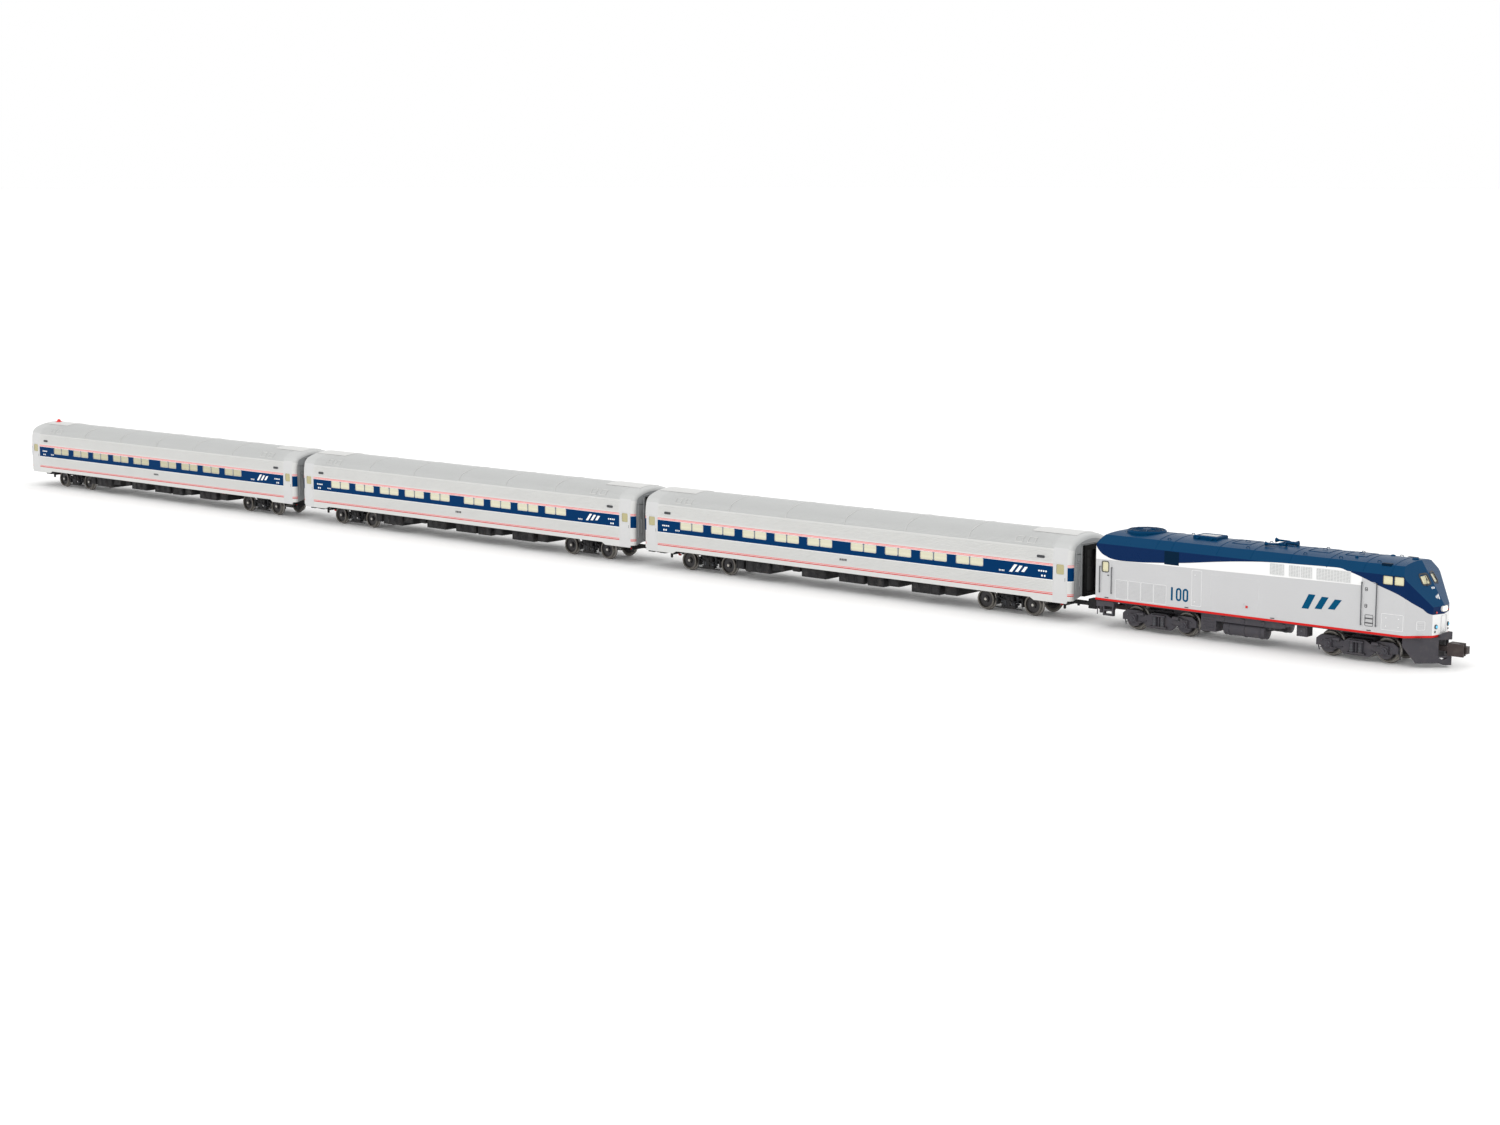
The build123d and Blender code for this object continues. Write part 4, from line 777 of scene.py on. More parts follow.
def loco_sides():
    pale, grey, dark, blue, mesh_grey, red, navy, mark = (Shape() for _ in range(8))
    for side in SIDES:
        # Air intakes in the white sash: a grey mesh behind a frame and fine bars.
        for x in ((178.5, 192.0), (197.0, 207.5), (208.5, 219.0), (223.5, 255.5)):
            rail = (66.6, 76.2)
            mesh_grey.box(x, (side * (FACE - 0.3), side * (FACE + 0.06)),
                          (RAIL + rail[0], RAIL + rail[1]), 0.03)
            outlined(pale, side, x, rail, 0.45, 0.35)
            slats(pale, side, x, rail, 8, width=0.3)
            slats(pale, side, x, rail, max(2, round((x[1] - x[0]) / 3)), True, 0.3, 0.24)
        # Lower engine-room louvres behind the rear door, in four panels.
        for i in range(4):
            x = (21.5 + 13.5 * i, 34.0 + 13.5 * i)
            outlined(pale, side, x, (28.4, 45.4), 0.35, 0.22)
            slats(grey, side, x, (28.8, 45.0), 14, width=0.45, proud=0.2)
        # Access doors and panels.
        outlined(pale, side, (101.0, 110.5), (30.5, 62.0), 0.35, 0.2)
        outlined(grey, side, (5.4, 16.2), (27.6, 62.4), 0.3, 0.2, 1.2)
        outlined(grey, side, (268.0, 279.0), (28.2, 69.2), 0.3, 0.2, 1.0)
        outlined(pale, side, (285.5, 305.0), (30.5, 43.8), 0.4, 0.25)
        outlined(grey, side, (120.0, 168.0), (29.0, 60.0), 0.22, 0.1)
        navy.box((72.0, 87.0), (side * (FACE - 0.3), side * (FACE + 0.12)),
                 (RAIL + 64.6, CREASE - 0.3), 0.05)
        for x, rail in ((289.5, 40.5), (301.0, 40.5), (289.5, 33.5), (301.0, 33.5),
                        (104.0, 58.0), (104.0, 34.0)):
            place, right, up = side_face(side, x, rail)
            pale.lathe([(-0.3, 0.55), (0.25, 0.55), (0.4, 0.35)], place, (0, side, 0), 12)
        # Cab door: latches, step rungs and kick plate.
        for rail in (63.0, 48.7):
            dark.frame_plate(1.7, 2.4, 0.35, *side_face(side, 270.6, rail), 0.3, 0.3, 2)
            dark.box((270.2, 271.6), (side * FACE, side * (FACE + 0.6)),
                     (RAIL + rail - 0.3, RAIL + rail + 0.3))
        dark.frame_plate(7.0, 9.2, 0.35, *side_face(side, 273.8, 36.4), 0.3, 0.5, 2)
        for rail in (34.3, 38.2):
            dark.box((270.0, 277.6), (side * (FACE - 0.2), side * (FACE + 0.9)),
                     (RAIL + rail - 0.35, RAIL + rail + 0.35))
        dark.box((12.6, 14.2), (side * FACE, side * (FACE + 0.7)), rails(48.2, 49.0))
        dark.frame_plate(6.4, 9.0, 0.75, *side_face(side, 10.2, 56.3), 0.4, 1.2, 4)
        for x in (290.1, 300.4):
            dark.frame_plate(8.6, 7.0, 0.4, *side_face(side, x, 72.6), 0.3, 0.8, 3)
        # Rain gutter over the cab windows.
        blue.box((283.0, 304.0), (side * (FACE - 0.3), side * (FACE + 0.5)),
                 (CREASE - 0.3, CREASE + 0.3))
        # Nose vent on the taper.
        pale.frame_plate(6.6, 6.6, 0.45, *taper_face(side, 316.6, 35.3), 0.3, 0.4, 2)
        origin, right, up = taper_face(side, 316.6, 35.3)
        for i in range(4):
            low = -2.7 + 1.5 * i
            grey.plate([(-3.1, low), (3.1, low), (3.1, low + 0.6), (-3.1, low + 0.6)],
                       origin, right, up, 0.25)
        # Plain number on the side: one bar and two rounded loops. Slanted bars near the cab.
        for i in range(3):
            place = side_face(side, 87.6 - side * 7.0 * (i - 1), 38.7)
            if i == 0:
                mark.plate(rounded(1.9, 12.0, 0.2, 2), *place, 0.12, 0.03)
            else:
                mark.frame_plate(2.2, 8.4, 1.8, *place, 0.12, 1.1, 5)
        for i, height in enumerate((13.0, 11.0, 9.0)):
            origin, right, up = side_face(side, 228.5, 46.5)
            left = 12.5 * (i - 1) - 6.0
            slant = [(left, -height / 2), (left + 6.5, -height / 2),
                     (left + 13.0, height / 2), (left + 6.5, height / 2)]
            mark.plate(slant, origin, right, up, 0.12, 0.03)
        # Fuel gauge and filler cap low on the side, and lift lugs along the sill.
        red.box((155.4, 157.6), (side * FACE, side * (FACE + 0.35)), rails(34.0, 36.2))
        grey.frame_plate(1.6, 4.2, 0.3, *side_face(side, 153.4, 36.0), 0.3, 0.3, 2)
        for x in (12.0, 96.0, 182.0, 274.0):
            dark.box((x - 2.0, x + 2.0), (side * (FACE - 0.1), side * (FACE + 0.5)),
                     rails(27.6, 28.3))
    place_all("loco_", "loco", LOCO_X,
              ("white_trim", pale, loco_white, "loco_body"),
              ("grey_trim", grey, loco_grey, "loco_body"),
              ("dark_trim", dark, line_dark, "loco_black"),
              ("blue_trim", blue, loco_blue, "loco_blue"),
              ("panel", navy, loco_navy, "loco_blue"),
              ("marks", mark, mark_blue, "loco_blue"),
              ("intake_mesh", mesh_grey, coach_roof, "loco_body"),
              ("gauges", red, stripe_red, "loco_body"))


def loco_roof():
    blue, pale, dark, navy = (Shape() for _ in range(4))
    # Fan cover: rings and blades over a dark well.
    fan_z = LOCO_ROOF + 1.4
    for radius in (4.6, 7.4, 10.2, 13.0, 15.8):
        ring = [(fan_z - 0.3, radius), (fan_z + 0.35, radius), (fan_z + 0.35, radius + 0.55),
                (fan_z - 0.3, radius + 0.55)]
        rows = []
        for i in range(49):
            a = tau * i / 48
            rows.append([(33.5 + r * cos(a), r * sin(a), z) for z, r in ring])
        blue.loops(rows, closed_ends=False)
    for i in range(12):
        a = tau * i / 12
        blue.tube([(33.5 + r * cos(a), r * sin(a), fan_z + 0.3) for r in (3.5, 9.5, 16.2)], 0.32, 6)
    dark.lathe([(0, 16.2), (0.1, 16.1)], (33.5, 0, fan_z), (0, 0, 1), 48)
    for i in range(16):
        a = tau * (i + 0.5) / 16
        dome(blue, 33.5 + 19.4 * cos(a), 19.4 * sin(a), roof_height(19.4 * sin(a)) - 0.1,
             0.55, 0.4, 8)
    # Exhaust hatch: pale louvred top and hinges.
    pale.box((90.4, 109.6), (-5.6, 5.6), (LOCO_ROOF + 1.3, LOCO_ROOF + 1.9), 0.2)
    for i in range(9):
        x = 92.2 + 1.95 * i
        pale.box((x - 0.45, x + 0.45), (-4.9, 4.9), (LOCO_ROOF + 1.8, LOCO_ROOF + 2.5), 0.15)
    for x in (93.0, 107.0):
        for side in SIDES:
            blue.box((x - 1.4, x + 1.4), (side * 9.6, side * 11.6),
                     (LOCO_ROOF - 0.8, LOCO_ROOF + 1.0), 0.3)
    # Seams, hatches, lift rings and small fittings along the roof.
    for x in (62.0, 78.0, 124.0, 158.0, 196.0, 232.0, 266.0, 292.0):
        roof_seam(blue, x)
    for x, half_x, half_y in ((138.0, 9.0, 12.0), (214.0, 10.0, 11.0), (249.0, 10.0, 11.0)):
        for side in SIDES:
            z = roof_height(half_y)
            blue.box((x - half_x, x + half_x), (side * (half_y - 0.3), side * (half_y + 0.3)),
                     (z - 0.3, z + 0.3), 0.1)
        for end in SIDES:
            rings = []
            for i in range(13):
                y = half_y * (i / 6 - 1)
                z = roof_height(y)
                rings.append([(x + end * half_x + dx, y, z + dz)
                              for dx, dz in ((-0.3, -0.3), (-0.3, 0.3), (0.3, 0.3), (0.3, -0.3))])
            blue.loops(rings)
        blue.tube([(x - 2.2, 0, LOCO_ROOF - 0.1), (x - 2.0, 0, LOCO_ROOF + 0.9),
                   (x + 2.0, 0, LOCO_ROOF + 0.9), (x + 2.2, 0, LOCO_ROOF - 0.1)], 0.3, 6)
    for x in (70.0, 150.0, 206.0, 240.0, 276.0):
        for side in SIDES:
            z = roof_height(20.5)
            blue.tube([(x - 1.6, side * 20.5, z - 0.2), (x - 1.2, side * 20.5, z + 1.2),
                       (x + 1.2, side * 20.5, z + 1.2), (x + 1.6, side * 20.5, z - 0.2)], 0.35, 6)
    for side in SIDES:
        navy.box((280.5, 289.5), (side * 21.0, side * 25.4), rails(83.4, 85.7), 0.3)
    dome(blue, 299.0, 0, LOCO_ROOF - 0.1, 3.2, 1.6)
    dome(blue, 274.0, 8.0, roof_height(8) - 0.1, 2.4, 1.3)
    dome(blue, 252.0, -15.0, roof_height(15) - 0.1, 1.6, 1.6)
    # Horn bracket: cross plate, air pipe and small bells beside the three trumpets.
    blue.box((158.0, 184.0), (-2.0, 1.0), (LOCO_ROOF - 0.5, LOCO_ROOF + 0.7), 0.3)
    blue.tube([(160.0, -6.0, LOCO_ROOF + 0.5), (168.0, -6.0, LOCO_ROOF + 1.0),
               (171.0, -2.0, LOCO_ROOF + 1.5), (171.0, 16.0, LOCO_ROOF + 1.6)], 0.5, 8)
    blue.lathe([(0, 0.6), (5, 0.8), (7, 1.7), (7.6, 2.0), (7.6, 1.6), (5.2, 0.5)],
               (172.0, -6.0, LOCO_ROOF + 1.7), (1, 0, 0), 16)
    blue.lathe([(0, 0.6), (6, 0.8), (8, 1.7), (8.6, 2.0), (8.6, 1.6), (6.2, 0.5)],
               (170.0, -10.5, LOCO_ROOF + 1.6), (-1, 0, 0), 16)
    place_all("loco_", "loco", LOCO_X,
              ("roof_fittings", blue, loco_blue, "loco_blue"),
              ("exhaust_louvres", pale, loco_grey, "loco_body"),
              ("roof_boxes", navy, loco_navy, "loco_blue"),
              ("fan_well", dark, line_dark, "loco_black"))


def loco_front():
    dark, grey, warm, red, lamp_blue, white = (Shape() for _ in range(6))
    for side in SIDES:
        dark.frame_plate(9.2, 8.4, 1.5, *slope_face(side * 8.2, 72.8), 0.35, 1.0, 4)
        # Wiper: an arm from its spindle under the glass to a blade over it.
        origin, right, up = slope_face(side * 8.2, 72.8)
        right, up = Vector(right), Vector(up)
        out = right.cross(up)
        base = Vector(origin) - up * 6.4 + right * side * 1.0 + out * 0.7
        tip = Vector(origin) + up * 1.2 - right * side * 1.2 + out * 0.9
        dark.tube([base - out * 1.0, base, tip], 0.25, 6)
        dark.tube([tip - up * 3.4 + right * 0.6, tip + up * 3.0 - right * 0.6], 0.3, 6)
        # Small marker under the headlight and ditch lamp low on the nose.
        place, right, up = front_face(side * 11.0, 46.2)
        out = Vector(right).cross(Vector(up))
        dark.lathe([(-0.4, 1.2), (0.4, 1.2), (0.6, 1.0)], place, out, 20)
        red.lathe([(0.4, 0.85), (0.8, 0.75), (1.0, 0.3)], place, out, 16)
        place, right, up = front_face(side * 11.0, 34.0)
        out = Vector(right).cross(Vector(up))
        dark.lathe([(-0.4, 1.9), (0.9, 1.9), (1.1, 1.6)], place, out, 20)
        lamp_blue.lathe([(0.9, 1.5), (1.4, 1.3), (1.7, 0.6)], place, out, 16)
        # Hose connection low on the corner and the step of the pilot under it.
        place, right, up = front_face(side * 12.0, 29.8)
        out = Vector(right).cross(Vector(up))
        dark.lathe([(-0.4, 0.9), (0.5, 0.9), (0.7, 0.7)], place, out, 12)
        dark.box((312.0, 319.0), (side * 21.5, side * 26.0), rails(24.2, 25.0), 0.2)
    # Headlight: a pale rim around the lens and two round reflectors.
    light = RAIL + 48.6
    grey.frame_plate(9.0, 3.6, 0.6, (NOSE_X - 0.9, 0, light), (0, 1, 0), (0, 0, 1), 1.6, 1.4, 4)
    for y in (-2.3, 2.3):
        warm.lathe([(-0.6, 1.5), (0.35, 1.45), (0.7, 0.9), (0.8, 0.2)],
                   (NOSE_X + 0.1, y, light), (1, 0, 0), 20)
    # Plain white bars on the slope, and the panel line of the nose door.
    for i, height in enumerate((2.0, 3.4, 4.8)):
        origin, right, up = slope_face(-5.2 + 1.7 * i, 58.4)
        white.plate(slanted(0.9, height, 0.6), origin, right, up, 0.12, 0.03)
        origin, right, up = slope_face(-5.0 + 1.5 * i, 65.6)
        white.plate(rounded(0.8, 1.8, 0.2, 2), origin, right, up, 0.12, 0.03)
    grey.frame_plate(9.0, 14.0, 0.25, (NOSE_X - 0.35, 0, RAIL + 35.8), (0, 1, 0), (0, 0, 1), 0.25,
                     0.8, 3)
    place_all("loco_", "loco", LOCO_X,
              ("front_dark", dark, line_dark, "loco_black"),
              ("front_grey", grey, loco_grey, "loco_body"),
              ("headlight_bulbs", warm, lens_warm, "headlight"),
              ("nose_markers", red, lens_red, "red_lens"),
              ("ditch_lamps", lamp_blue, lens_blue, "headlight"),
              ("nose_marks", white, line_white, "loco_body"))


def loco_truck_details():
    """Springs, journal caps, brake gear and bolts on both locomotive trucks."""
    frame_face = 23.4
    for end in ("rear", "front"):
        body = f"loco_{end}_truck"
        x = middle(f"{body}_front_axle").x / MM + middle(f"{body}_back_axle").x / MM
        x /= 2
        dark, steel = Shape(), Shape()
        for side in SIDES:
            y = side * frame_face
            for axle in (-1, 1):
                centre = (axle * 26.6, y + side * 1.4, RAIL + 10.7)
                dark.lathe([(0, 3.0), (0.9, 3.0), (1.2, 2.6), (1.2, 1.2), (1.9, 1.0)],
                           centre, (0, side, 0), 24)
                for i in range(4):
                    a = pi / 4 + pi / 2 * i
                    steel.lathe([(1.0, 0.42), (1.5, 0.42), (1.6, 0.3)],
                                (centre[0] + 2.2 * cos(a), centre[1], centre[2] + 2.2 * sin(a)),
                                (0, side, 0), 6)
                # Brake cylinder and its rod above each wheel, and a sand pipe in front of it.
                dark.rod((axle * 15.0, y + side * 1.6, RAIL + 15.6),
                         (axle * 21.5, y + side * 1.6, RAIL + 15.6), 1.7, 16)
                dark.rod((axle * 21.5, y + side * 1.6, RAIL + 15.6),
                         (axle * 25.5, y + side * 1.6, RAIL + 15.0), 0.6, 8)
                dark.tube([(axle * 37.5, side * 21.6, RAIL + 15.0),
                           (axle * 38.4, side * 20.4, RAIL + 10.0),
                           (axle * 38.0, side * 18.0, RAIL + 3.4)], 0.5, 8)
                dark.tube([(axle * 13.0, y + side * 0.4, RAIL + 9.5),
                           (axle * 19.0, y + side * 1.2, RAIL + 7.5),
                           (axle * 34.0, y + side * 1.2, RAIL + 7.2)], 0.45, 8)
            for spring in (-4.0, 4.0):
                steel.coil(spring, y + side * 1.1, rails(6.4, 14.6), 1.75, 6, 0.42)
            dark.rod((-0.01, y + side * 0.6, RAIL + 15.0), (-0.01, y + side * 0.6, RAIL + 5.2),
                     0.9, 10)
            dark.box((-8.5, 8.5), (y, y + side * 2.6), rails(4.6, 6.2), 0.3)
            dark.box((-7.0, 7.0), (y, y + side * 2.4), rails(14.8, 16.6), 0.3)
            for place in (-33.0, -20.0, 20.0, 33.0):
                steel.lathe([(-0.2, 0.6), (0.45, 0.6), (0.6, 0.4)],
                            (place, y, RAIL + 13.2), (0, side, 0), 6)
        piece(f"{body}_gear", dark.mesh(f"{body}_gear", loco_dark), body, x)
        piece(f"{body}_springs", steel.mesh(f"{body}_springs", rod_metal), body, x)


def loco_underside():
    """Straps, valves and pipes on the tanks and boxes below the floor."""
    dark, steel = Shape(), Shape()
    for side in SIDES:
        for x in (136.0, 151.5, 167.0):
            rows = []
            for i in range(25):
                a = tau * i / 24
                rows.append([(x + dx, side * 21 + r * cos(a), RAIL + 13 + r * sin(a))
                             for dx, r in ((-0.8, 6.3), (-0.8, 6.8), (0.8, 6.8), (0.8, 6.3))])
            dark.loops(rows, closed_ends=False)
        for x, reach in ((131.2, -1), (171.8, 1)):
            dark.lathe([(0, 5.4), (0.7, 4.4), (1.1, 2.4), (1.2, 0.2)],
                       (x, side * 21, RAIL + 13), (reach, 0, 0), 24)
        dark.tube([(172.6, side * 21, RAIL + 14.0), (178.0, side * 22, RAIL + 15.5),
                   (181.0, side * 24, RAIL + 19.0)], 0.6, 8)
        for i in range(5):
            z = RAIL + 10.6 + 2.4 * i
            dark.box((110.6, 122.4), (side * 27.8, side * 28.4), (z, z + 1.3), 0.2)
        dark.box((205.2, 212.8), (side * 27.8, side * 28.5), rails(16.0, 22.5), 0.3)
        steel.lathe([(-0.3, 0.8), (0.6, 0.8), (0.8, 0.5)], (209.0, side * 28.4, RAIL + 19.5),
                    (0, side, 0), 12)
        for x in (1.4, 17.8):
            dark.rod((x, side * 30.0, RAIL + 18.6), (x, side * 30.0, RAIL + 11.4), 0.5, 8)
        for i in range(4):
            dark.box((189.0 - 20 * i, 193.0 - 20 * i), (side * 27.6, side * 28.6),
                     rails(19.4, 23.4), 0.3)
    piece("loco_underside_gear", dark.mesh("loco_underside_gear", loco_dark), "loco",
          LOCO_X)
    piece("loco_underside_valves", steel.mesh("loco_underside_valves", rod_metal), "loco",
          LOCO_X)


# ---------------------------------------------------------------- coach details
COACH_FACE = HALF_WIDTH
EQUIPMENT = ((-142.0, 10.0, 9.7), (-129.0, 32.0, 8.2), (-93.5, 14.5, 12.7), (-67.5, 9.0, 14.2),
             (-55.5, 31.0, 10.2), (-8.0, 31.5, 10.2), (28.0, 20.0, 9.9), (54.0, 12.5, 11.9),
             (82.0, 33.5, 9.3), (122.5, 13.5, 10.7))
EQUIPMENT_FACE = 29.5
FLOOR_UNDER = 22.2
TRUCK_X = 189.0
WHEELBASE = 54.0


def face_frame(shape, side, x, rail, bar, thick, corner=0.4, face=COACH_FACE, steps=2):
    """A raised frame on an upright face between two x values and two heights."""
    origin = (sum(x) / 2, side * face, RAIL + sum(rail) / 2)
    shape.frame_plate(x[1] - x[0], rail[1] - rail[0], bar, origin, (-side, 0, 0), (0, 0, 1),
                      thick, corner, steps)


def face_plate(shape, side, x, rail, outline, thick=0.12, face=COACH_FACE):
    """A flat plate on an upright face; the outline is about (x, rail)."""
    outline = [(-side * u, v) for u, v in outline]
    if side > 0:
        outline.reverse()
    shape.plate(outline, (x, side * face, RAIL + rail), (-side, 0, 0), (0, 0, 1), thick, 0.03)


def slanted(width, height, lean):
    """Outline of a leaning bar about its middle."""
    return [(-width / 2 - lean / 2, -height / 2), (width / 2 - lean / 2, -height / 2),
            (width / 2 + lean / 2, height / 2), (-width / 2 + lean / 2, height / 2)]


def window_frames(shape):
    """Thin silver edge around each pane and a deeper one around the door windows."""
    for side in SIDES:
        for centre in WINDOWS:
            for shift in (-8.1, 8.1):
                face_frame(shape, side, (centre + shift - 7.5, centre + shift + 7.5),
                           (43.4, 50.8), 0.28, 0.12, 0.8, steps=3)
        for centre in DOORS:
            face_frame(shape, side, (centre - 4.2, centre + 4.2), (44.3, 53.7), 0.3, 0.12, 0.8,
                       steps=3)


def door_leaves(shape, dark):
    """A door's raised edge with a round top, and its handle."""
    for side in SIDES:
        for centre in DOORS:
            face_frame(shape, side, (centre - 7.0, centre + 7.0), (24.6, 54.2), 0.25, 0.12, 0.6)
            dark.box((centre + 5.2, centre + 5.6), (side * (COACH_FACE - 0.3), side * (COACH_FACE + 0.12)),
                     rails(38.0, 41.5), 0.1)


def band_marks(white, dark):
    """Plain bars on the blue band: a slanted group at the front, short rows at both ends."""
    for side in SIDES:
        for i, height in enumerate((7.4, 6.2, 5.0)):
            face_plate(white, side, 209.5 + 6.4 * (i - 1), 45.0, slanted(3.4, height, height * 0.8))
        for i in range(4):
            for x in (-219.5, 190.0):
                face_plate(white, side, x + 1.7 * (i - 1.5), 41.8, rounded(0.9, 1.5, 0.3, 2), 0.08)
            face_plate(dark, side, 2.4 * (i - 1.5), 33.0, rounded(1.4, 2.2, 0.3, 2), 0.08)
            for end in SIDES:
                face_plate(white, side, end * 236.0 + 2.6 * (i - 1.5), 45.6,
                           rounded(1.8, 1.5, 0.5, 2), 0.08)
        for x in (-238.5, -235.5, 235.5, 238.5):
            face_plate(white, side, x, 41.2, rounded(2.0, 2.0, 1.0, 3), 0.08)


def sign_plates(dark, pale):
    """Oval sign above the band beside each door."""
    for side in SIDES:
        for end in SIDES:
            y, z, ny, nz = wall_point(RAIL + 59.0)
            origin = (end * 233.7, side * (y - 0.1 * ny), z)
            up = Vector((0, -side * nz, ny))
            right = (-side, 0, 0)
            dark.plate(rounded(9.0, 2.6, 1.3, 5), origin, right, up, 0.25, 0.1)
            pale.frame_plate(9.2, 2.8, 0.35, origin, right, up, 0.2, 1.4, 5)


def roof_arc(x, low, high, proud, steps=10):
    """Points over the roof from one girth to another, standing proud of the skin."""
    points = []
    for i in range(steps + 1):
        y, z, ny, nz = wall_point(low + (high - low) * i / steps)
        points.append((x, y + ny * proud, z + nz * proud))
    return points


def roof_sheet(shape, x, girth, proud, thick=0.5, steps=12):
    """A curved plate on the roof between two x values and over the crown between equal girths."""
    low, high = girth
    half = []
    for i in range(steps + 1):
        half.append(low + (high - low) * i / steps)
    rows = []
    for place in (x[0], x[0] + 0.3, x[1] - 0.3, x[1]):
        lift = proud if place not in x else proud - 0.3
        ring = []
        for side, order in ((-1, half), (1, half[::-1])):
            for s in order:
                y, z, ny, nz = wall_point(s)
                ring.append((place, side * (y + ny * lift), z + nz * lift))
        for side, order in ((1, half), (-1, half[::-1])):
            for s in order:
                y, z, ny, nz = wall_point(s)
                ring.append((place, side * (y + ny * (proud - thick)), z + nz * (proud - thick)))
        rows.append(ring)
    shape.loops(rows)


def roof_hatches(shape):
    """Low frames on the roof's shoulder beside the raised plates at both ends."""
    for side in SIDES:
        for end in SIDES:
            for x in (207.0, 221.0):
                for low, high in ((71.5, 72.1), (78.4, 79.0)):
                    rows = []
                    for place in (end * x - 4.2, end * x + 4.2):
                        ring = []
                        for s, lift in ((low, -0.3), (low, 0.28), (high, 0.28), (high, -0.3)):
                            y, z, ny, nz = wall_point(s)
                            ring.append((place, side * (y + ny * lift), z + nz * lift))
                        rows.append(ring)
                    shape.loops(rows)
                for edge in (-4.0, 4.0):
                    points = roof_arc(end * x + edge, 71.7, 78.8, 0.1)
                    shape.tube([(px, side * py, pz) for px, py, pz in points], 0.28, 6)


def coach_trim(n):
    silver, dark, white, pale, door, red, panes = (Shape() for _ in range(7))
    window_frames(silver)
    door_leaves(door, dark)
    band_marks(white, dark)
    sign_plates(dark, pale)
    roof_hatches(silver)
    for end in SIDES:
        roof_sheet(silver, sorted((end * 211.0, end * 261.0)), (91.0, TOP_GIRTH - 0.01), 0.55)
    for x in (-150.0, -75.0, 0.0, 75.0, 150.0):
        points = roof_arc(x, 69.0, TOP_GIRTH - 0.02, 0.06, 20)
        silver.tube(points + [(px, -py, pz) for px, py, pz in points[::-1]], 0.3, 6)
    for side in SIDES:
        # Rain gutter where the side meets the roof.
        y, z, ny, nz = wall_point(67.6)
        silver.box((-244.0, 244.0), (side * (y - 0.4), side * (y + 0.3)), (z - 0.35, z + 0.35))
        for end in SIDES:
            y, z, ny, nz = wall_point(58.5)
            x = end * 264.6
            red.lathe([(-0.6, 1.2), (0.2, 1.2), (0.5, 0.7)], (x, side * (y - 2.2), z),
                      (end * 0.75, side * 0.66, 0.0), 16)
        for centre in DOORS:
            face_plate(panes, side, centre, 49.0, rounded(8.0, 9.0, 0.5, 3), 0.05, COACH_FACE - 0.3)
    place_all(f"coach{n}_", f"coach{n}", COACH_X[n],
              ("door_panes", panes, pane_door, "coach_glazing"),
              ("silver_trim", silver, coach_silver, "coach_body"),
              ("dark_trim", dark, line_dark, "coach_black"),
              ("band_marks", white, line_white, "coach_body"),
              ("sign_rims", pale, coach_door, "coach_body"),
              ("door_edges", door, coach_door, "coach_body"),
              ("end_reflectors", red, lens_red, "red_lens"))


def coach_ends(n):
    """End wall details: corner posts, a raised frame around the gangway, and its door."""
    grey, dark, rub = Shape(), Shape(), Shape()
    for end in SIDES:
        x = end * HALF_LENGTH
        for side in SIDES:
            grey.box((x - end * 0.4, x + end * 0.7), (side * 15.6, side * 17.0),
                     rails(25.0, 69.0), 0.3)
            grey.box((x - end * 0.4, x + end * 0.5), (side * 24.8, side * 25.6),
                     rails(28.0, 66.0), 0.2)
            grey.tube([(x, side * 21.0, RAIL + 33.0), (x + end * 1.3, side * 21.0, RAIL + 33.3),
                       (x + end * 1.3, side * 21.0, RAIL + 46.7), (x, side * 21.0, RAIL + 47.0)],
                      0.35, 8)
            for i in range(4):
                grey.box((x - end * 0.3, x + end * 0.5), (side * 19.0, side * 23.0),
                         (RAIL + 51.0 + 1.8 * i, RAIL + 51.9 + 1.8 * i), 0.15)
            # Folds of the rubber diaphragm.
            for i in range(9):
                rub.box((x + end * 0.3, x + end * 2.2), (side * 13.8, side * 14.3),
                        (RAIL + 25.0 + 4.8 * i, RAIL + 28.4 + 4.8 * i), 0.3)
        grey.box((x - end * 0.4, x + end * 0.7), (-17.0, 17.0), rails(71.2, 72.4), 0.3)
        # Gangway door set back inside the opening, with its window and handle.
        inner = end * (HALF_LENGTH - 2.2)
        dark.box((inner - end * 1.0, inner), (-9.9, 9.9), rails(24.8, 65.9), 0.2)
        dark.frame_plate(6.0, 9.0, 0.5, (inner, 0, RAIL + 53.0), (0, end, 0), (0, 0, 1), 0.4)
        dark.box((inner, inner + end * 0.8), (6.4, 7.2), rails(43.0, 46.0), 0.2)
        dark.box((x, x + end * 2.3), (-9.0, 9.0), rails(23.2, 24.4), 0.2)
    place_all(f"coach{n}_", f"coach{n}", COACH_X[n],
              ("end_fittings", grey, coach_grey, "coach_end"),
              ("gangway_doors", dark, chip_black, "coach_black"),
              ("gangway_folds", rub, rubber, "coach_black"))


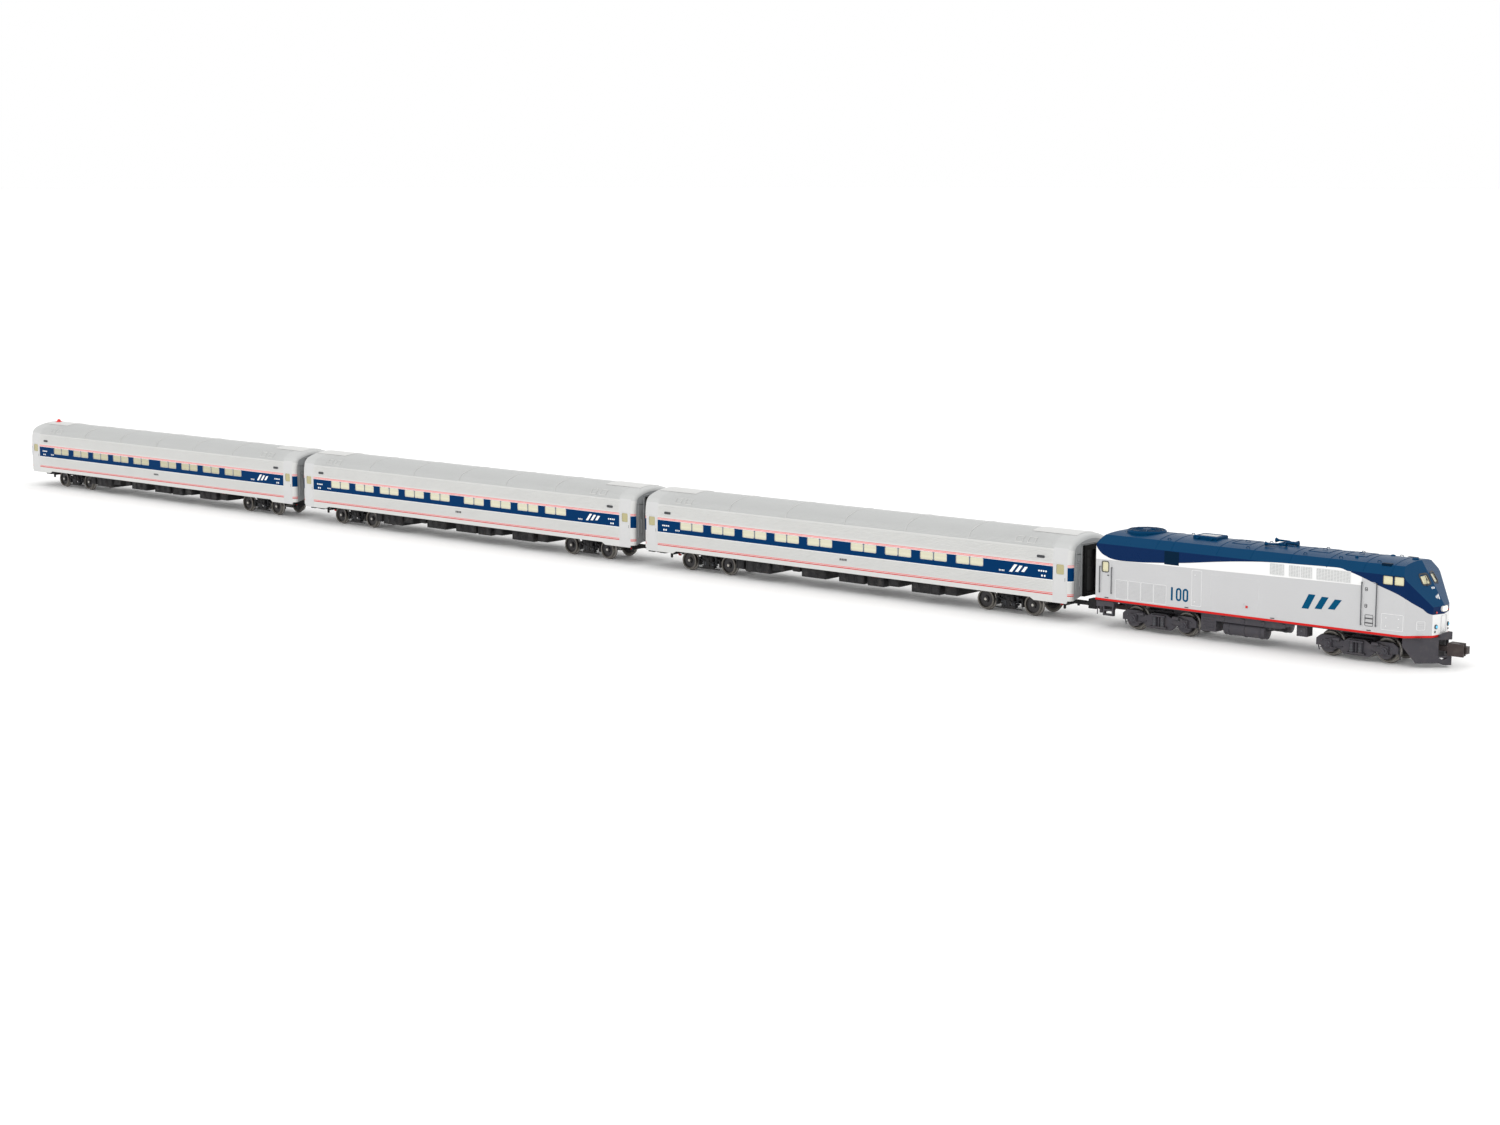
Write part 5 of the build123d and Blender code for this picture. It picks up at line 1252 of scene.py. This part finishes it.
def coach_underside(n):
    """Doors, louvres and straps on the equipment boxes, and pipes along the floor."""
    dark, grey, red = Shape(), Shape(), Shape()
    for side in SIDES:
        face = side * EQUIPMENT_FACE
        for index, (start, length, bottom) in enumerate(EQUIPMENT):
            high = FLOOR_UNDER - 0.6
            panels = max(1, round(length / 11))
            step = length / panels
            for i in range(panels):
                x = (start + i * step + 0.9, start + (i + 1) * step - 0.9)
                rail = (bottom + 1.0, high)
                face_frame(dark, side, (x[0] + 0.4, x[1] - 0.4), (rail[0] + 0.4, rail[1] - 0.4),
                           0.4, 0.45, 0.3, EQUIPMENT_FACE)
                if (index + i) % 3 == 0:
                    count = max(3, round((rail[1] - rail[0]) / 1.3))
                    for k in range(count):
                        z = RAIL + rail[0] + (rail[1] - rail[0]) * (k + 0.5) / count
                        dark.box((x[0] + 0.8, x[1] - 0.8), (face, face + side * 0.35),
                                 (z - 0.3, z + 0.3), 0.1)
                elif (index + i) % 3 == 1:
                    mid = RAIL + sum(rail) / 2
                    dark.box((x[1] - 2.6, x[1] - 1.4), (face, face + side * 0.6),
                             (mid - 0.8, mid + 0.8), 0.15)
                    for z in (mid - 2.6, mid + 2.6):
                        dark.box((x[0] + 0.2, x[0] + 1.3), (face, face + side * 0.5),
                                 (z - 0.5, z + 0.5), 0.1)
                else:
                    radius = min(length / panels, rail[1] - rail[0]) * 0.3
                    centre = (sum(x) / 2, face, RAIL + sum(rail) / 2)
                    dark.lathe([(-0.2, radius), (0.6, radius), (0.8, radius * 0.7),
                                (0.5, radius * 0.6), (0.9, 0.2)], centre, (0, side, 0), 20)
            if index in (3, 6, 9):
                red.box((start + length * 0.3, start + length * 0.7), (face, face + side * 0.3),
                        rails(19.0, 19.7), 0.08)
        dark.tube([(-150.0, side * 27.5, RAIL + 20.8), (-60.0, side * 27.5, RAIL + 20.8),
                   (0.0, side * 27.5, RAIL + 20.8), (150.0, side * 27.5, RAIL + 20.8)], 0.55, 8)
        for end in SIDES:
            # Folding steps below the doors and a bracket at the corner.
            for rail, reach in ((17.6, 31.4), (21.0, 31.8)):
                grey.box((end * 249.0, end * 262.0), (side * 27.5, side * reach),
                         (RAIL + rail, RAIL + rail + 0.7), 0.15)
            for x in (249.6, 261.4):
                grey.box((end * (x - 0.4), end * (x + 0.4)), (side * 28.6, side * 31.2),
                         rails(17.7, 22.2), 0.15)
    place_all(f"coach{n}_", f"coach{n}", COACH_X[n],
              ("box_fittings", dark, underbody, "coach_black"),
              ("steps", grey, line_dark, "coach_black"),
              ("box_labels", red, stripe_red, "coach_body"))


def coach_truck_gear(n, end):
    """Springs, swing links, brake discs and the bar between the wheels of one coach truck."""
    body = f"coach{n}_{end}_truck"
    toward = 1 if end == "front" else -1
    x = COACH_X[n] + toward * TRUCK_X
    dark, steel, red = Shape(), Shape(), Shape()
    for side in SIDES:
        y = side * 17.8
        for spring in (-4.8, 4.8):
            steel.coil(spring, y, rails(6.4, 10.5), 2.3, 4, 0.42)
        for spring in (-8.6, 8.6):
            steel.coil(spring, side * 17.0, rails(8.2, 15.0), 1.3, 6, 0.32)
            dark.rod((spring, side * 17.0, RAIL + 7.4), (spring, side * 17.0, RAIL + 15.8), 0.7, 10)
            dark.box((spring - 1.8, spring + 1.8), (side * 15.4, side * 18.6), rails(6.8, 8.0), 0.2)
        dark.box((-11.0, 11.0), (side * 14.8, side * 19.2), rails(15.6, 17.0), 0.4)
        dark.box((-2.0, 2.0), (side * 19.4, side * 20.8), rails(5.2, 15.2), 0.4)
        for place in (-4.8, 4.8):
            dark.box((place - 0.6, place + 0.6), (side * 19.8, side * 20.5), rails(4.6, 15.6), 0.2)
        # Long tie bar under the springs, damper, and the link to the end of the frame.
        dark.box((-15.5, 15.5), (side * 18.6, side * 19.6), rails(2.9, 4.1), 0.2)
        dark.rod((-9.0, side * 20.2, RAIL + 12.6), (9.0, side * 20.2, RAIL + 9.0), 0.9, 12)
        dark.tube([(6.0, side * 19.0, RAIL + 16.6), (14.0, side * 17.2, RAIL + 17.6),
                   (27.0, side * 15.0, RAIL + 20.6)], 0.7, 8)
        dark.tube([(-6.0, side * 19.0, RAIL + 16.6), (-14.0, side * 17.2, RAIL + 17.6),
                   (-27.0, side * 15.0, RAIL + 20.6)], 0.7, 8)
        for axle in (-1, 1):
            centre = axle * WHEELBASE / 2
            dark.box((centre - 3.6, centre + 3.6), (side * 9.8, side * 13.2), rails(5.4, 13.6), 0.4)
            dark.box((centre - axle * 13.6, centre - axle * 11.4), (side * 13.0, side * 18.4),
                     rails(5.6, 12.2), 0.4)
            dark.rod((centre - axle * 15.6, side * 17.4, RAIL + 13.4),
                     (centre - axle * 11.6, side * 17.4, RAIL + 13.0), 1.3, 12)
    # Safety bar, levers and a red cut-out cock on the coupler's tongue.
    for reach in (46.0, 58.0):
        dark.box((toward * reach - 0.8, toward * reach + 0.8), (-9.0, 9.0), rails(12.6, 13.8), 0.2)
    dark.rod((toward * 58.0, -12.0, RAIL + 12.2), (toward * 58.0, 12.0, RAIL + 12.2), 0.9, 10)
    for side in SIDES:
        dark.box((toward * 57.0, toward * 59.0), (side * 10.5, side * 12.8), rails(8.6, 13.6), 0.3)
        red.rod((toward * 50.0, side * 6.0, RAIL + 11.6), (toward * 53.0, side * 6.0, RAIL + 11.6),
                1.0, 12)
        red.rod((toward * 51.5, side * 6.0, RAIL + 12.2), (toward * 51.5, side * 8.6, RAIL + 12.8),
                0.5, 8)
    for name, shape, material in (("gear", dark, underbody), ("springs", steel, rod_metal),
                                  ("cocks", red, stripe_red)):
        label = f"{body}_{name}"
        piece(label, shape.mesh(label, material), body, x)


# ---------------------------------------------------------------- camera, light and floor
def camera():
    """Stands ahead of the train's right side and looks back along it from a little above."""
    eye = Vector((1.9606, -2.0387, 0.42135))
    yaw, pitch = 0.70679, -0.15121
    sensor, focal, frame_width = 36, 2627, 1500
    ahead = Vector((-sin(yaw) * cos(pitch), cos(yaw) * cos(pitch), sin(pitch)))
    data = bpy.data.cameras.new("camera")
    data.sensor_width = sensor
    data.lens = sensor * focal / frame_width
    data.clip_end = 100
    made = bpy.data.objects.new("camera", data)
    made.location = eye
    made.rotation_euler = ahead.to_track_quat("-Z", "Y").to_euler()
    bpy.context.scene.collection.objects.link(made)
    bpy.context.scene.camera = made


def lamp(name, place, target, size, power):
    data = bpy.data.lights.new(name, "AREA")
    data.size = size
    data.energy = power
    made = bpy.data.objects.new(name, data)
    made.location = place
    made.rotation_euler = (Vector(target) - Vector(place)).to_track_quat("-Z", "Y").to_euler()
    bpy.context.scene.collection.objects.link(made)


def studio():
    world = bpy.data.worlds.new("studio")
    bpy.context.scene.world = world
    world.use_nodes = True
    back = world.node_tree.nodes["Background"]
    back.inputs["Color"].default_value = (1.0, 1.0, 1.0, 1.0)
    back.inputs["Strength"].default_value = 1.0
    lamp("key", (1.8, -3.2, 3.0), (0, 0, 0), 2.0, 30)
    lamp("fill", (-2.6, -2.6, 2.4), (-0.3, 0, 0), 2.5, 12)
    lamp("back", (0.5, 3.0, 3.0), (0, 0, 0), 3.0, 16)
    bpy.context.scene.view_settings.view_transform = "Standard"
    bm = bmesh.new()
    bmesh.ops.create_circle(bm, cap_ends=True, radius=40, segments=64)
    mesh = bpy.data.meshes.new("floor")
    bm.to_mesh(mesh)
    bm.free()
    pale = Recipe("floor_pale", specular=0.2)
    pale.shader.inputs["Emission Color"].default_value = WHITE
    pale.shader.inputs["Emission Strength"].default_value = 0.08
    mesh.materials.append(pale.surface(srgb(252, 252, 251), 0.8, bump=0.02, mottle=0.01))
    floor = bpy.data.objects.new("floor", mesh)
    bpy.context.scene.collection.objects.link(floor)


# ---------------------------------------------------------------- coach pieces
def build_coaches():
    shell = coach_shell_mesh()
    for n in COACHES:
        made = piece(f"coach{n}_skin", shell, f"coach{n}", COACH_X[n])
        thicken(made, 1.4)
        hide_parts(f"coach{n}_shell")
        coach_trim(n)
        coach_ends(n)
        coach_underside(n)
        for end in ("front", "rear"):
            coach_truck_gear(n, end)


def paint_nodes():
    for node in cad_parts:
        if node.endswith("_axle"):
            paint(node, wheels)
        elif node.startswith("coach"):
            kind = node.split("_", 1)[1]
            # The third coach gets the darker copy of the pane colour, which is painted shade.
            panes = pane_shaded_rear if node.startswith("coach3") else pane_front
            paint(node, {"windows": panes, "diaphragms": rubber, "interior": seat_blue,
                         "rear_knuckle": bronze, "shell": coach_silver}.get(kind, underbody))
    paint("loco_shell", livery)
    paint("loco_windows", pane_cab)
    paint("headlight_lens", lens_warm)
    paint("marker_lamp", lens_red)
    for node in ("roof_fan", "exhaust_hatch", "roof_horn"):
        paint(node, loco_blue)
    for node in ("loco_frame", "loco_pilot", "loco_front_truck", "loco_rear_truck"):
        paint(node, loco_dark)
    for node in ("front_coupler", "rear_coupler", "front_knuckle", "pickup_arm"):
        paint(node, bronze)
    paint("loco_handrails", rod_metal)
    paint("shell_screws", bright_steel)
    paint("pickup_roller", bright_steel)
    paint("drive_motor", spring_steel)
    paint("motor_shaft", brass)
    paint("circuit_board", board_green)
    paint("speaker", paper_black)


paint_nodes()
build_coaches()
loco_sides()
loco_roof()
loco_front()
loco_truck_details()
loco_underside()
camera()
studio()
